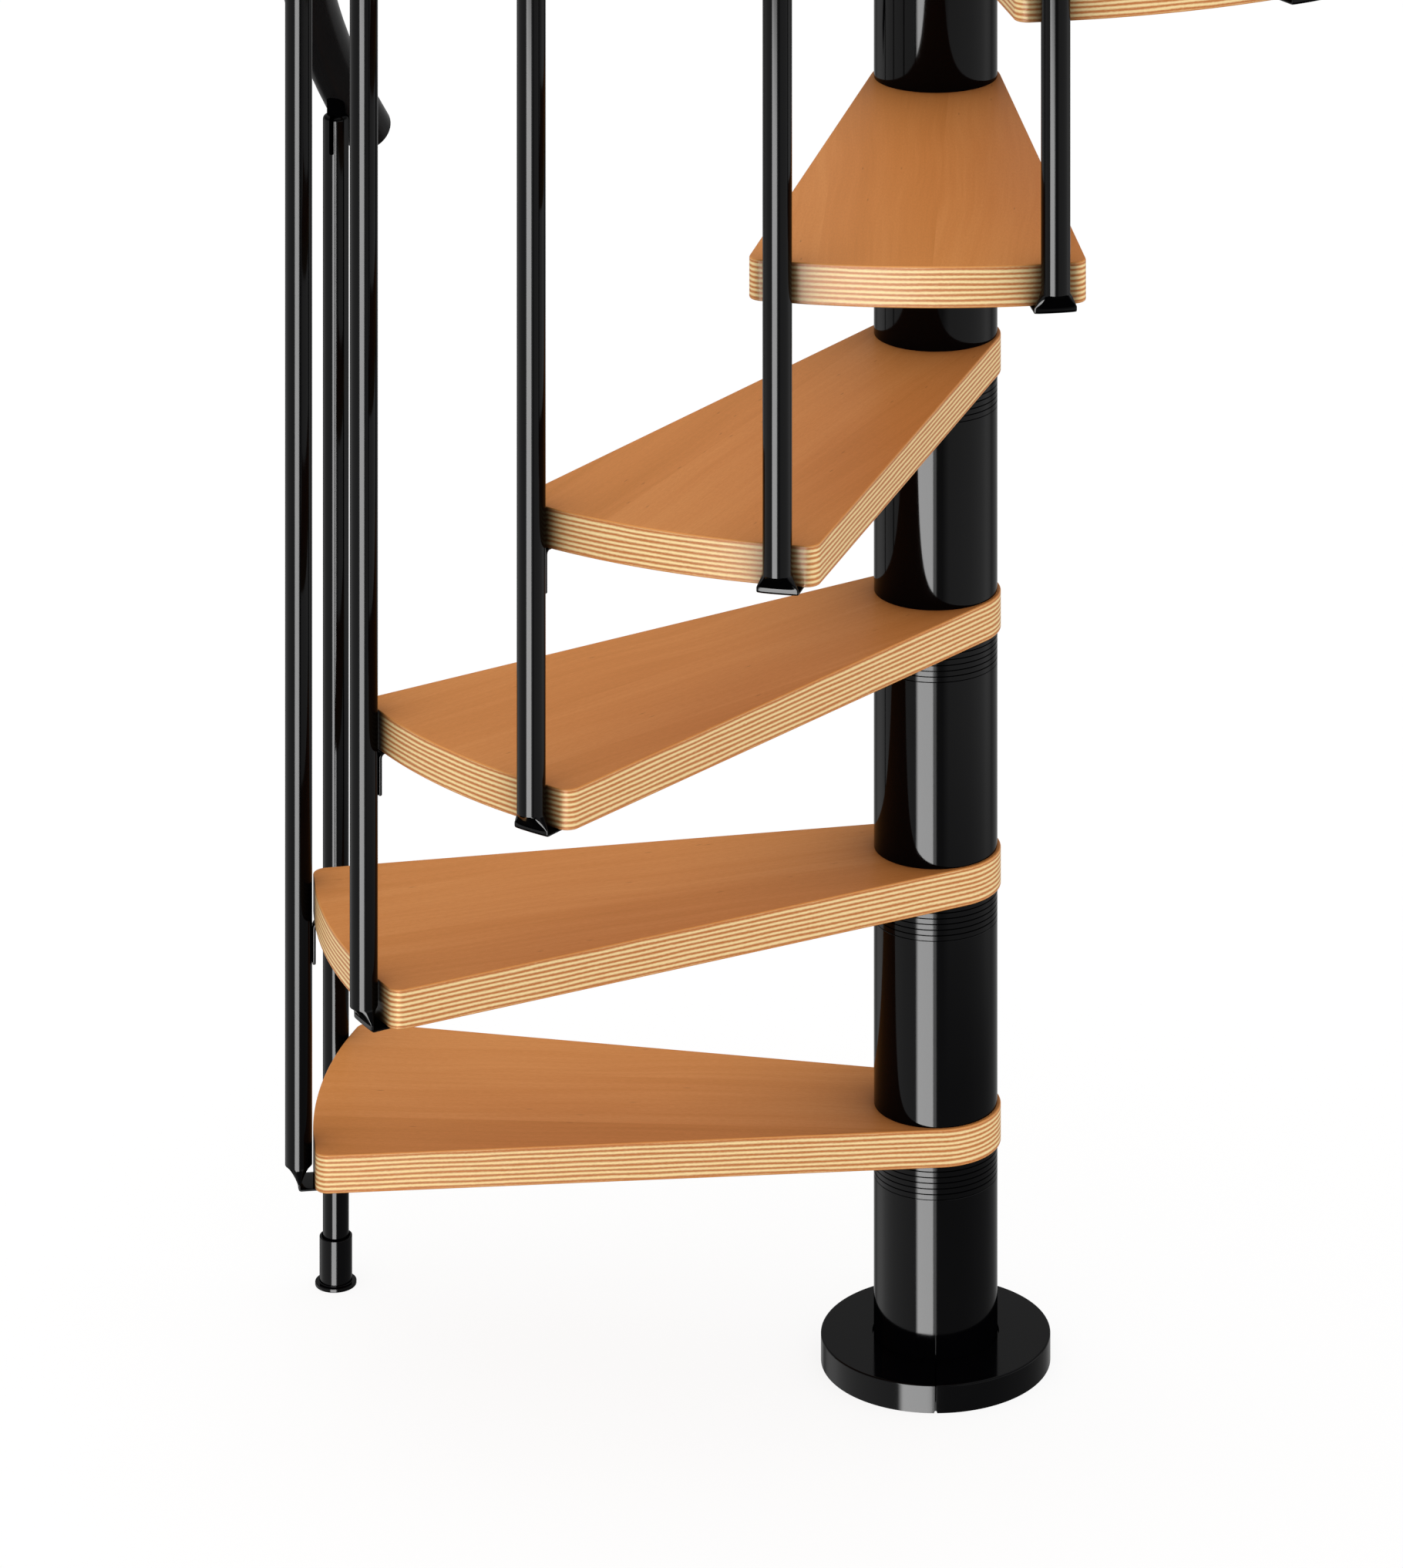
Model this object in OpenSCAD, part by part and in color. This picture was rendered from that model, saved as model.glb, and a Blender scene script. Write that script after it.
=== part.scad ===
// Spiral staircase: plywood treads clamped on a column of short tubes, with round
// balusters and a round handrail. Millimetres, +Z up, origin on the floor at the column's axis.
// Angles run anticlockwise from +X seen from above, the way the stair climbs.

/* [Stair] */
// Number of treads
tread_count = 11; // [6:1:13]
// Height from one tread to the next
rise = 230; // [205:1:250]
// Turn from one tread to the next, in degrees
step_angle = 22.85; // [20:0.05:26]
// Direction of the first tread's centre line, in degrees
first_angle = 177; // [0:1:359]

/* [Treads] */
// Radius of a tread's outer edge
tread_r = 556; // [480:1:650]
// Thickness of a tread
tread_t = 34; // [28:1:42]
// Radius of the round hub end that the column clamps
hub_r = 58.5; // [57:0.5:72]
// Angle between a straight edge and the tread's centre line, in degrees
edge_angle = 8.4; // [7:0.1:10]
// Radius of a tread's outer corners
corner_r = 12; // [6:1:24]

/* [Column] */
// Diameter of the column tubes
column_d = 111; // [90:1:112]
// Wall of the column tubes
column_wall = 3; // [2:0.5:6]
// Adjusting rings in each stack
ring_count = 6; // [3:1:8]
// Thickness of one ring
ring_t = 5; // [4:0.5:7]
// Height and depth of the groove between two rings
ring_groove = 0.9; // [0.5:0.1:1.2]
// Height of the cap on the last tread
cap_h = 22; // [15:1:40]
// Rounding of the cap's top edge
cap_round = 5; // [2:0.5:8]

/* [Base] */
// Diameter of the base cover
cover_d = 206; // [190:1:240]
// Height of the base cover
cover_h = 24.5; // [22:0.5:32]
// Wall of the base cover
cover_wall = 3; // [2:0.5:4]
// Rounding of the base cover's top edge
cover_round = 1.5; // [0.5:0.5:2.5]
// Play between the cover and the column
cover_play = 1; // [0.5:0.5:2]
// Width of the seam between the cover's halves
seam_w = 1; // [0.6:0.1:2]
// Width of the notch at the foot of the seam
notch_w = 3; // [2.5:0.5:6]
// Height of the notch at the foot of the seam
notch_h = 2.4; // [1.5:0.1:5]
// Thickness of the base plate
plate_t = 8; // [6:1:12]
// Wall of the socket that holds the first tube
socket_wall = 6; // [4:1:10]
// Number of floor bolts
bolt_count = 4; // [3:1:6]
// Diameter of the floor bolts' holes
bolt_hole_d = 11; // [9:1:14]

/* [Balusters] */
// Diameter of the balusters and the newel post
post_d = 24; // [20:0.5:28]
// Play between a post and the treads' outer edge
post_play = 1.4; // [0.5:0.1:4]
// Height of a post's top over the tread that it stands at
post_h = 1076; // [900:1:1150]
// Rounding of a post's top edge
post_round = 3.5; // [2:0.5:5]
// Width of the slot in a post's top
slot_w = 4.5; // [3:0.5:6]
// Length of the slot in a post's top
slot_l = 35; // [20:1:50]
// Width of a baluster's flattened foot
flat_w = 35; // [30:1:38]
// Thickness of a baluster's flattened foot
flat_t = 2.6; // [2:0.1:4]
// Height over which a baluster goes from round to flat
flat_h = 15; // [12:1:24]
// Length of the foot under the tread, from the baluster's axis
foot_l = 44; // [36:1:60]

/* [Brackets] */
// Thickness of the angle straps
strap_t = 3; // [2:0.5:4]
// Width of the angle straps
strap_w = 11; // [8:1:20]
// Length of a strap's two legs
strap_l = 38; // [30:1:50]
// Inner bend radius of a strap
strap_bend = 3; // [1.5:0.5:5]

/* [Newel foot] */
// Diameter of the newel foot's flange
flange_d = 38; // [35:1:60]
// Thickness of the newel foot's flange
flange_t = 3.5; // [3:0.5:6]
// Diameter of the newel foot's collar
collar_d = 30; // [30:0.5:34]
// Height of the newel foot's collar over the floor
collar_h = 45; // [30:1:60]
// Play between the collar and the newel post
collar_play = 0.8; // [0.4:0.1:0.9]

/* [Handrail] */
// Diameter of the handrail
rail_d = 46; // [38:0.5:50]
// Height of the handrail's axis over the post tops
rail_lift = 40.5; // [38:0.5:55]
// Turn of the handrail past its first and last post, in degrees
rail_past = 7.2; // [5:0.1:10]
// Thickness of the handrail's end caps
rail_cap_t = 4; // [3:0.5:8]
// Rounding of the end caps' edge
rail_cap_round = 2.5; // [1:0.5:3]
// Diameter of the necks between posts and handrail
neck_d = 16.5; // [12:0.5:17]

/* [Hidden] */
$fn = 96;
// A cut runs past the faces that it opens by this much
overrun = 2;
// Segments of the tread outline's arcs
outer_steps = 16;
corner_steps = 8;
hub_steps = 24;
// Segments of a small rounded edge
round_steps = 6;
// Sides of the handrail and its turn from ring to ring
rail_sides = 16;
rail_step_angle = 4;
// Sides of the round end of a baluster's flattened stretch
flat_sides = 32;

half_turn = 180;
full_turn = 360;
right_angle = half_turn / 2;
post_r = post_d / 2;
post_circle_r = tread_r + post_play + post_r;
ring_stack_h = ring_count * ring_t;
column_r = column_d / 2;
cover_r = cover_d / 2;
plate_r = cover_r - cover_wall - cover_play;
socket_r = column_r + socket_wall;
// The floor bolts stand midway between the socket and the plate's rim
bolt_circle_r = (socket_r + plate_r) / 2;
rail_r = rail_d / 2;
rail_slope = atan(rise / (post_circle_r * step_angle * PI / half_turn));
rail_from = post_angle(0) - rail_past;
rail_to = post_angle(tread_count) + rail_past;
rail_rings = ceil((rail_to - rail_from) / rail_step_angle);

metal_black = "#202020";
plastic_black = "#262626";
beech = "#ba7a4a";

// Names of the nodes that repeat, such as tread_01
function numbered(name, n) = str(name, "_", n < 10 ? "0" : "", n);

// Every tread n, and every post k from the newel 0 to the last baluster
function tread_angle(n) = first_angle + (n - 1) * step_angle;
function post_angle(k) = first_angle + (k - 1 / 2) * step_angle;
function tread_top(n) = n * rise;
function tread_under(n) = tread_top(n) - tread_t;
function post_top(k) = tread_top(k) + post_h;

// Height of the handrail's axis in a direction
function rail_z(a) = post_h + rail_lift + rise * (a - post_angle(0)) / step_angle;

// Points of an arc about a centre, both ends included
function arc(centre, r, from, to, steps) =
    [for (i = [0:steps]) let (a = from + (to - from) * i / steps) centre + r * [cos(a), sin(a)]];

// Profile of a disc with a rounded top edge, for turning about the axis
function rounded_disc(r, h, edge) =
    concat([[0, 0], [r, 0]], arc([r - edge, h - edge], edge, 0, right_angle, round_steps), [[0, h]]);

// Floor plate with the socket of the first tube and the holes of the floor bolts
module base_plate() {
    color(metal_black) difference() {
        union() {
            cylinder(h = plate_t, r = plate_r);
            cylinder(h = cover_h - cover_wall, r = socket_r);
        }
        translate([0, 0, plate_t]) cylinder(h = cover_h, r = column_r);
        for (i = [0:bolt_count - 1])
            rotate((i + 1 / 2) * full_turn / bolt_count) translate([bolt_circle_r, 0, -overrun])
                cylinder(h = plate_t + 2 * overrun, d = bolt_hole_d);
    }
}

// Cover in two halves that meet at a seam in the plane X = 0
module base_cover() {
    color(plastic_black) difference() {
        rotate_extrude() polygon(rounded_disc(cover_r, cover_h, cover_round));
        translate([0, 0, -overrun]) cylinder(h = cover_h - cover_wall + overrun, r = cover_r - cover_wall);
        translate([0, 0, -overrun]) cylinder(h = cover_h + 2 * overrun, r = column_r + cover_play);
        translate([-seam_w / 2, -cover_d, -overrun]) cube([seam_w, 2 * cover_d, cover_h + 2 * overrun]);
        translate([-notch_w / 2, -cover_d, -overrun]) cube([notch_w, 2 * cover_d, notch_h + overrun]);
    }
}

// Tube from the plate or the tread below up to the rings under tread n
module column_tube(n) {
    foot_z = n == 1 ? plate_t : tread_top(n - 1);
    tube_h = tread_under(n) - ring_stack_h - foot_z;
    color(metal_black) translate([0, 0, foot_z]) difference() {
        cylinder(h = tube_h, r = column_r);
        translate([0, 0, -overrun]) cylinder(h = tube_h + 2 * overrun, r = column_r - column_wall);
    }
}

// Stack of adjusting rings: a groove shows where two rings meet
module ring_stack() {
    rim = [for (i = [0:ring_count - 1]) each [
        [column_r - ring_groove, i * ring_t],
        [column_r, i * ring_t + ring_groove / 2],
        [column_r, (i + 1) * ring_t - ring_groove / 2]]];
    rotate_extrude() polygon(concat(
        [[0, 0]], rim, [[column_r - ring_groove, ring_stack_h], [0, ring_stack_h]]));
}

module spacer_rings() {
    color(plastic_black) for (n = [1:tread_count])
        translate([0, 0, tread_under(n) - ring_stack_h]) ring_stack();
}

// Outline of a tread along +X: hub, two straight edges, rounded corners and an arc about the axis
function tread_outline() =
    let (along = sqrt(pow(tread_r - corner_r, 2) - pow(hub_r - corner_r, 2)),
         across = hub_r - corner_r,
         corner = along * [cos(edge_angle), sin(edge_angle)] + across * [-sin(edge_angle), cos(edge_angle)],
         corner_angle = atan2(corner.y, corner.x),
         edge_normal = right_angle + edge_angle,
         rim = arc([0, 0], tread_r, -corner_angle, corner_angle, outer_steps))
    concat(
        arc([corner.x, -corner.y], corner_r, -edge_normal, -corner_angle, corner_steps),
        [for (i = [1:outer_steps - 1]) rim[i]],
        arc(corner, corner_r, corner_angle, edge_normal, corner_steps),
        arc([0, 0], hub_r, edge_normal, full_turn - edge_normal, hub_steps));

module tread(n) {
    color(beech) translate([0, 0, tread_under(n)]) rotate(tread_angle(n))
        linear_extrude(tread_t) polygon(tread_outline());
}

module column_cap() {
    color(plastic_black) translate([0, 0, tread_top(tread_count)])
        rotate_extrude() polygon(rounded_disc(column_r, cap_h, cap_round));
}

// Places a post's axis, with +X pointing away from the column and +Y up the stair
module at_post(k) {
    rotate(post_angle(k)) translate([post_circle_r, 0, 0]) children();
}

// Round bar with a rounded, slotted top. The slot lies in line with the handrail.
module post_bar(from_z, to_z) {
    difference() {
        translate([0, 0, from_z]) rotate_extrude() polygon(rounded_disc(post_r, to_z - from_z, post_round));
        translate([-slot_w / 2, -post_d, to_z - slot_l + slot_w / 2])
            cube([slot_w, 2 * post_d, slot_l]);
        translate([0, 0, to_z - slot_l + slot_w / 2]) rotate([right_angle, 0, 0])
            cylinder(h = 2 * post_d, d = slot_w, center = true);
    }
}

module newel_post() {
    color(metal_black) at_post(0) post_bar(flange_t, post_top(0));
}

// Flanged foot with an open collar around the newel post
module newel_foot() {
    color(plastic_black) at_post(0) difference() {
        union() {
            cylinder(h = flange_t, d = flange_d);
            cylinder(h = collar_h, d = collar_d);
        }
        translate([0, 0, flange_t]) cylinder(h = collar_h, r = post_r + collar_play);
    }
}

// Baluster k: round bar, flattened below, with the flat end bent in under tread k
module baluster(k) {
    under_z = tread_under(k);
    color(metal_black) at_post(k) {
        post_bar(under_z + flat_h, post_top(k));
        hull() {
            translate([0, 0, under_z + flat_h]) cylinder(h = flat_t, r = post_r, $fn = flat_sides);
            translate([-flat_t / 2, -flat_w / 2, under_z - flat_t]) cube([flat_t, flat_w, flat_t]);
        }
        translate([-foot_l, -flat_w / 2, under_z - flat_t]) cube([foot_l, flat_w, flat_t]);
    }
}

// Angle strap from the inner side of post k to the underside of the next tread
module tread_bracket(k) {
    outer_bend = strap_bend + strap_t;
    bend_centre = [-post_r - outer_bend, -outer_bend];
    profile = concat(
        [[-post_r - strap_l, 0], [-post_r - strap_l, -strap_t]],
        arc(bend_centre, strap_bend, right_angle, 0, round_steps),
        [[-post_r - strap_t, -strap_l], [-post_r, -strap_l]],
        arc(bend_centre, outer_bend, 0, right_angle, round_steps));
    at_post(k) translate([0, strap_w / 2, tread_under(k + 1)]) rotate([right_angle, 0, 0])
        linear_extrude(strap_w) polygon(profile);
}

module tread_brackets() {
    color(metal_black) for (k = [0:tread_count - 1]) tread_bracket(k);
}

// Neck on top of post k, cut to the handrail's underside
module rail_joint(k) {
    rail_axis_z = rail_z(post_angle(k));
    at_post(k) difference() {
        translate([0, 0, post_top(k)]) cylinder(h = rail_lift, d = neck_d);
        translate([0, 0, rail_axis_z]) rotate([rail_slope - right_angle, 0, 0])
            cylinder(h = 2 * rail_d, r = rail_r, center = true);
    }
}

module rail_joints() {
    color(plastic_black) for (k = [0:tread_count]) rail_joint(k);
}

// One ring of the handrail in the direction a, square to the rail's axis
function rail_ring(a) =
    let (outward = [cos(a), sin(a), 0],
         along = cos(rail_slope) * [-sin(a), cos(a), 0] + [0, 0, sin(rail_slope)],
         upward = cross(along, outward),
         centre = post_circle_r * outward + [0, 0, rail_z(a)])
    [for (j = [0:rail_sides - 1]) let (turn = j * full_turn / rail_sides)
        centre + rail_r * (cos(turn) * outward + sin(turn) * upward)];

module handrail() {
    points = [for (i = [0:rail_rings]) each rail_ring(rail_from + (rail_to - rail_from) * i / rail_rings)];
    sides = [for (i = [0:rail_rings - 1], j = [0:rail_sides - 1])
        let (next = (j + 1) % rail_sides, low = i * rail_sides, high = low + rail_sides)
        [low + j, high + j, high + next, low + next]];
    first_end = [for (j = [0:rail_sides - 1]) j];
    last_end = [for (j = [rail_sides - 1:-1:0]) rail_rings * rail_sides + j];
    color(plastic_black) polyhedron(points, concat([first_end], sides, [last_end]));
}

// Cap on the end of the handrail in the direction a, which faces down or up the stair
module rail_end_cap(a, tilt) {
    rotate(a) translate([post_circle_r, 0, rail_z(a)]) rotate([tilt, 0, 0])
        rotate_extrude() polygon(rounded_disc(rail_r, rail_cap_t, rail_cap_round));
}

module rail_end_caps() {
    color(plastic_black) {
        rail_end_cap(rail_from, rail_slope + right_angle);
        rail_end_cap(rail_to, rail_slope - right_angle);
    }
}

base_plate();
base_cover();
spacer_rings();
column_cap();
newel_post();
newel_foot();
tread_brackets();
rail_joints();
handrail();
rail_end_caps();
for (n = [1:tread_count]) {
    column_tube(n);
    tread(n);
    baluster(n);
}
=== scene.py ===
"""Looks of the spiral staircase: lacquered plywood treads, gloss black steel and moulded black plastic."""

from __future__ import annotations

import logging
import math
from dataclasses import dataclass
from enum import Enum
from typing import Any, ClassVar, Iterable, Sequence

import bmesh
import bpy
from bmesh.types import BMEdge, BMesh, BMFace, BMVert
from mathutils import Matrix, Vector


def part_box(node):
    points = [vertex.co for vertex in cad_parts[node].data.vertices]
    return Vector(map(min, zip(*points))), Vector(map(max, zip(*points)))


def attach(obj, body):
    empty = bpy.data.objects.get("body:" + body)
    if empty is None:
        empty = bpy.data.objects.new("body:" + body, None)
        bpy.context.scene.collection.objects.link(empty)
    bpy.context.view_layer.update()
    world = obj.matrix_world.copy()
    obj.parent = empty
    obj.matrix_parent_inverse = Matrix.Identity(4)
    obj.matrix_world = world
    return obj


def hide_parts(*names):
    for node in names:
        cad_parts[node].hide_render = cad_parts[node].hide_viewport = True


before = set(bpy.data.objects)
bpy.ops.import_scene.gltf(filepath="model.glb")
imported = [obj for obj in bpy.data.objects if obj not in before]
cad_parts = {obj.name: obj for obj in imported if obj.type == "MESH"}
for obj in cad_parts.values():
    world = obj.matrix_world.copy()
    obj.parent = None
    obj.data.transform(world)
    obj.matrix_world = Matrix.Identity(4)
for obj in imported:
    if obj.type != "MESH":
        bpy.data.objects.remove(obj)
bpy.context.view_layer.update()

LOG = logging.getLogger("spiral_staircase")
BODY = "root"
MM = 0.001
UP = Vector((0, 0, 1))
FULL_TURN = 2 * math.pi
HALF_TURN = math.pi
RIGHT_ANGLE = math.pi / 2
# Edges that turn more than this stay crisp when a piece is shaded smooth
CRISP_ANGLE = math.radians(38)
# Edges that turn more than this are corners to ease, and not steps of a round surface
CORNER_ANGLE = math.radians(60)
# Points closer than this are one point
WELD = 0.001 * MM
# A level or a plane is met within this
NEAR = 0.05 * MM
# Sockets of the Mix node when it mixes colours
MIX_FACTOR, MIX_A, MIX_B, MIX_RESULT = 0, 6, 7, 2
# A noise texture wavers about this value
NOISE_MIDDLE = 0.5
# Rays that look for other surfaces near a point, to paint shade into corners
PAINTED_SHADE_RAYS = 8
# Ray depth between what a surface mirrors and what it mirrors of another mirror
FIRST_MIRROR = 1.5

Colour = tuple[float, float, float, float]


class Slot(Enum):
    """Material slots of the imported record."""

    COLUMN = "column_metal"
    POST = "post_metal"
    RING = "ring_plastic"
    BASE = "base_plastic"
    RAIL = "rail_plastic"
    WOOD = "tread_wood"


class RailEnd(Enum):
    """Ends of the handrail, with the way that each faces along the rail."""

    LOWER = -1
    UPPER = 1


def linear(hex_colour: str) -> Colour:
    """Turns an sRGB hex colour to linear values.

    Args:
        hex_colour: six hex digits after a hash sign.

    Returns:
        Red, green, blue and an alpha of 1.
    """
    values = [int(hex_colour[i : i + 2], 16) / 255 for i in (1, 3, 5)]
    red, green, blue = (v / 12.92 if v <= 0.04045 else ((v + 0.055) / 1.055) ** 2.4 for v in values)
    return (red, green, blue, 1.0)


def grey(level: float) -> Colour:
    """Gives a grey of a linear level."""
    return (level, level, level, 1.0)


def numbered(name: str, n: int) -> str:
    """Gives the name of a node or piece that repeats, such as tread_01."""
    return f"{name}_{n:02d}"


def blend(start: float, end: float, share: float) -> float:
    """Gives the value at a share of the way from start to end."""
    return start + (end - start) * share


def set_inputs(tree: bpy.types.NodeTree, node: bpy.types.Node, inputs: dict[Any, Any]) -> None:
    """Sets or links input sockets of a node.

    Args:
        tree: the node tree of a material or the world.
        node: the node.
        inputs: values, or output sockets to link, for the node's input sockets by name or number.
    """
    for key, value in inputs.items():
        if isinstance(value, bpy.types.NodeSocket):
            tree.links.new(value, node.inputs[key])
        else:
            node.inputs[key].default_value = value


def add_node(tree: bpy.types.NodeTree, kind: str, inputs: dict[Any, Any], **settings: Any) -> bpy.types.Node:
    """Adds one node to a tree.

    Args:
        tree: the node tree of a material or the world.
        kind: the node's type name.
        inputs: what its input sockets get, as in set_inputs.
        settings: the node's own properties.

    Returns:
        The new node.
    """
    node = tree.nodes.new(kind)
    for name, value in settings.items():
        setattr(node, name, value)
    set_inputs(tree, node, inputs)
    return node


def set_stops(ramp: bpy.types.ColorRamp, stops: Sequence[tuple[float, Colour]]) -> None:
    """Gives a colour ramp its stops.

    Args:
        ramp: the ramp of a Color Ramp node.
        stops: position and linear colour of each stop, in rising order.
    """
    ramp.elements.remove(ramp.elements[1])
    first = ramp.elements[0]
    first.position, first.color = stops[0]
    for position, colour in stops[1:]:
        ramp.elements.new(position).color = colour


def start_material(name: str) -> bpy.types.Material:
    """Makes a material with an empty finish.

    Args:
        name: the material's name.

    Returns:
        The material, whose tree holds a shader and an output.
    """
    material = bpy.data.materials.new(name)
    material.use_nodes = True
    return material


@dataclass(frozen=True)
class StairPlan:
    """Sizes and places that the sub-assemblies share, in metres and radians.

    All but the turn from post to post are measured on the frame.
    """

    tread_count: int
    rise: float
    tread_thickness: float
    column_radius: float
    post_circle: float
    post_radius: float
    post_height: float
    newel_angle: float
    step_angle: float = math.radians(22.85)

    @classmethod
    def from_frame(cls) -> StairPlan:
        """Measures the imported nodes.

        Returns:
            The plan of the stair.
        """
        first_low, first_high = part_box("tread_01")
        second_low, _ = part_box("tread_02")
        tube_low, tube_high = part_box("column_tube_01")
        post_low, post_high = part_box("newel_post")
        middle = (post_low + post_high) / 2
        return cls(
            tread_count=sum(name.startswith("column_tube_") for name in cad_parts),
            rise=second_low.z - first_low.z,
            tread_thickness=first_high.z - first_low.z,
            column_radius=(tube_high.x - tube_low.x) / 2,
            post_circle=math.hypot(middle.x, middle.y),
            post_radius=(post_high.x - post_low.x) / 2,
            post_height=post_high.z,
            newel_angle=math.atan2(middle.y, middle.x),
        )

    @property
    def treads(self) -> range:
        """Numbers of the treads, which are those of the balusters and of the column's tubes too."""
        return range(1, self.tread_count + 1)

    def post_angle(self, k: int) -> float:
        """Direction of post k, where the newel is post 0."""
        return self.newel_angle + k * self.step_angle

    def tread_top(self, n: int) -> float:
        """Height of the top of tread n."""
        return n * self.rise

    def tread_under(self, n: int) -> float:
        """Height of the underside of tread n."""
        return self.tread_top(n) - self.tread_thickness

    def post_top(self, k: int) -> float:
        """Height of the top of post k."""
        return self.tread_top(k) + self.post_height

    def at_post(self, k: int, height: float = 0.0) -> Matrix:
        """Places post k's axis, with X pointing away from the column and Y up the stair."""
        outwards = Matrix.Translation((self.post_circle, 0, height))
        return Matrix.Rotation(self.post_angle(k), 4, "Z") @ outwards

    def at_tread(self, n: int) -> Matrix:
        """Places the underside of tread n, midway between two posts, with X along the tread."""
        turn = self.post_angle(n) - self.step_angle / 2
        return Matrix.Translation((0, 0, self.tread_under(n))) @ Matrix.Rotation(turn, 4, "Z")


def only(kind: type, geometry: Iterable[Any]) -> list[Any]:
    """Picks the vertices, edges or faces out of an operator's result."""
    return [item for item in geometry if isinstance(item, kind)]


def turn_profile(bm: BMesh, points: Sequence[tuple[float, float]], steps: int) -> None:
    """Turns a closed profile about the Z axis.

    Args:
        bm: the mesh to add to.
        points: radius and height of the profile's corners, in order.
        steps: segments of the full turn.
    """
    corners = [bm.verts.new((radius, 0, height)) for radius, height in points]
    edges = [bm.edges.new((corners[i - 1], corners[i])) for i in range(len(corners))]
    bmesh.ops.spin(
        bm, geom=corners + edges, cent=(0, 0, 0), axis=UP, angle=FULL_TURN, steps=steps, use_merge=True
    )
    bmesh.ops.remove_doubles(bm, verts=bm.verts, dist=WELD)
    bmesh.ops.dissolve_degenerate(bm, edges=bm.edges, dist=WELD)
    bmesh.ops.recalc_face_normals(bm, faces=bm.faces)


def corner_edges(bm: BMesh) -> list[BMEdge]:
    """Lists the edges where two faces meet at a sharp corner."""
    return [edge for edge in bm.edges if edge.is_manifold and edge.calc_face_angle() > CORNER_ANGLE]


def ease(bm: BMesh, edges: Iterable[BMEdge], size: float, segments: int) -> None:
    """Rounds edges over.

    Args:
        bm: the mesh that holds the edges.
        edges: the edges to round.
        size: how far the rounding reaches from the edge.
        segments: steps of the rounding.
    """
    bmesh.ops.bevel(
        bm,
        geom=list(edges),
        offset=size,
        offset_type="OFFSET",
        affect="EDGES",
        segments=segments,
        profile=0.5,
        material=-1,
        clamp_overlap=True,
    )


def gather(solids: Iterable[BMesh]) -> BMesh:
    """Puts separate solids into one mesh and frees them.

    Args:
        solids: the finished solids, each at its place.

    Returns:
        The mesh that holds them all.
    """
    whole = bmesh.new()
    for solid in solids:
        mesh = bpy.data.meshes.new("solid")
        solid.to_mesh(mesh)
        solid.free()
        whole.from_mesh(mesh)
        bpy.data.meshes.remove(mesh)
    return whole


def make_object(bm: BMesh, name: str, materials: Sequence[bpy.types.Material]) -> bpy.types.Object:
    """Makes a mesh an object of the scene.

    Args:
        bm: the finished mesh, which is freed.
        name: the object's name.
        materials: its materials, in the order of its faces' material numbers.

    Returns:
        The object, at the origin.
    """
    mesh = bpy.data.meshes.new(name)
    bm.to_mesh(mesh)
    bm.free()
    for material in materials:
        mesh.materials.append(material)
    item = bpy.data.objects.new(name, mesh)
    bpy.context.scene.collection.objects.link(item)
    return item


def make_piece(
    bm: BMesh, name: str, materials: Sequence[bpy.types.Material], nodes: Sequence[str]
) -> None:
    """Makes a mesh a piece that rides on the stair, shaded smooth up to its crisp edges.

    Args:
        bm: the finished mesh, which is freed.
        name: the piece's name.
        materials: the piece's materials, in the order of its faces' material numbers.
        nodes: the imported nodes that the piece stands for, if any.
    """
    for face in bm.faces:
        face.smooth = True
    for edge in bm.edges:
        edge.smooth = edge.is_manifold and edge.calc_face_angle() < CRISP_ANGLE
    piece = make_object(bm, name, materials)
    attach(piece, BODY)
    if nodes:
        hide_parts(*nodes)
    # Wide faces keep their own shading beside the narrow ones of an eased edge
    shading = piece.modifiers.new("even_shading", "WEIGHTED_NORMAL")
    shading.keep_sharp = True
    LOG.info("%s: %d faces", name, len(piece.data.polygons))


def paint_corner_shade(
    tree: bpy.types.NodeTree, colour: bpy.types.NodeSocket, reach: float, power: float
) -> bpy.types.NodeSocket:
    """Paints shade into a colour: darkens it in corners and beside posts, the more the closer other surfaces
    stand round a point.

    Args:
        tree: the material's node tree.
        colour: the socket that gives the colour.
        reach: how far away another surface still counts.
        power: how strongly it darkens.

    Returns:
        The socket of the darkened colour.
    """
    # The painted shade follows how open the space round each point is
    openness = add_node(
        tree, "ShaderNodeAmbientOcclusion", {"Distance": reach}, samples=PAINTED_SHADE_RAYS
    ).outputs["AO"]
    shade = add_node(tree, "ShaderNodeMath", {0: openness, 1: power}, operation="POWER").outputs[0]
    return add_node(
        tree,
        "ShaderNodeMix",
        {MIX_FACTOR: 1.0, MIX_A: colour, MIX_B: shade},
        data_type="RGBA",
        blend_type="MULTIPLY",
    ).outputs[MIX_RESULT]


@dataclass(frozen=True)
class GrainLayer:
    """One noise of the veneer's grain, stretched along the wood."""

    length: float
    width: float
    weight: float
    detail: float
    wander: float


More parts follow.
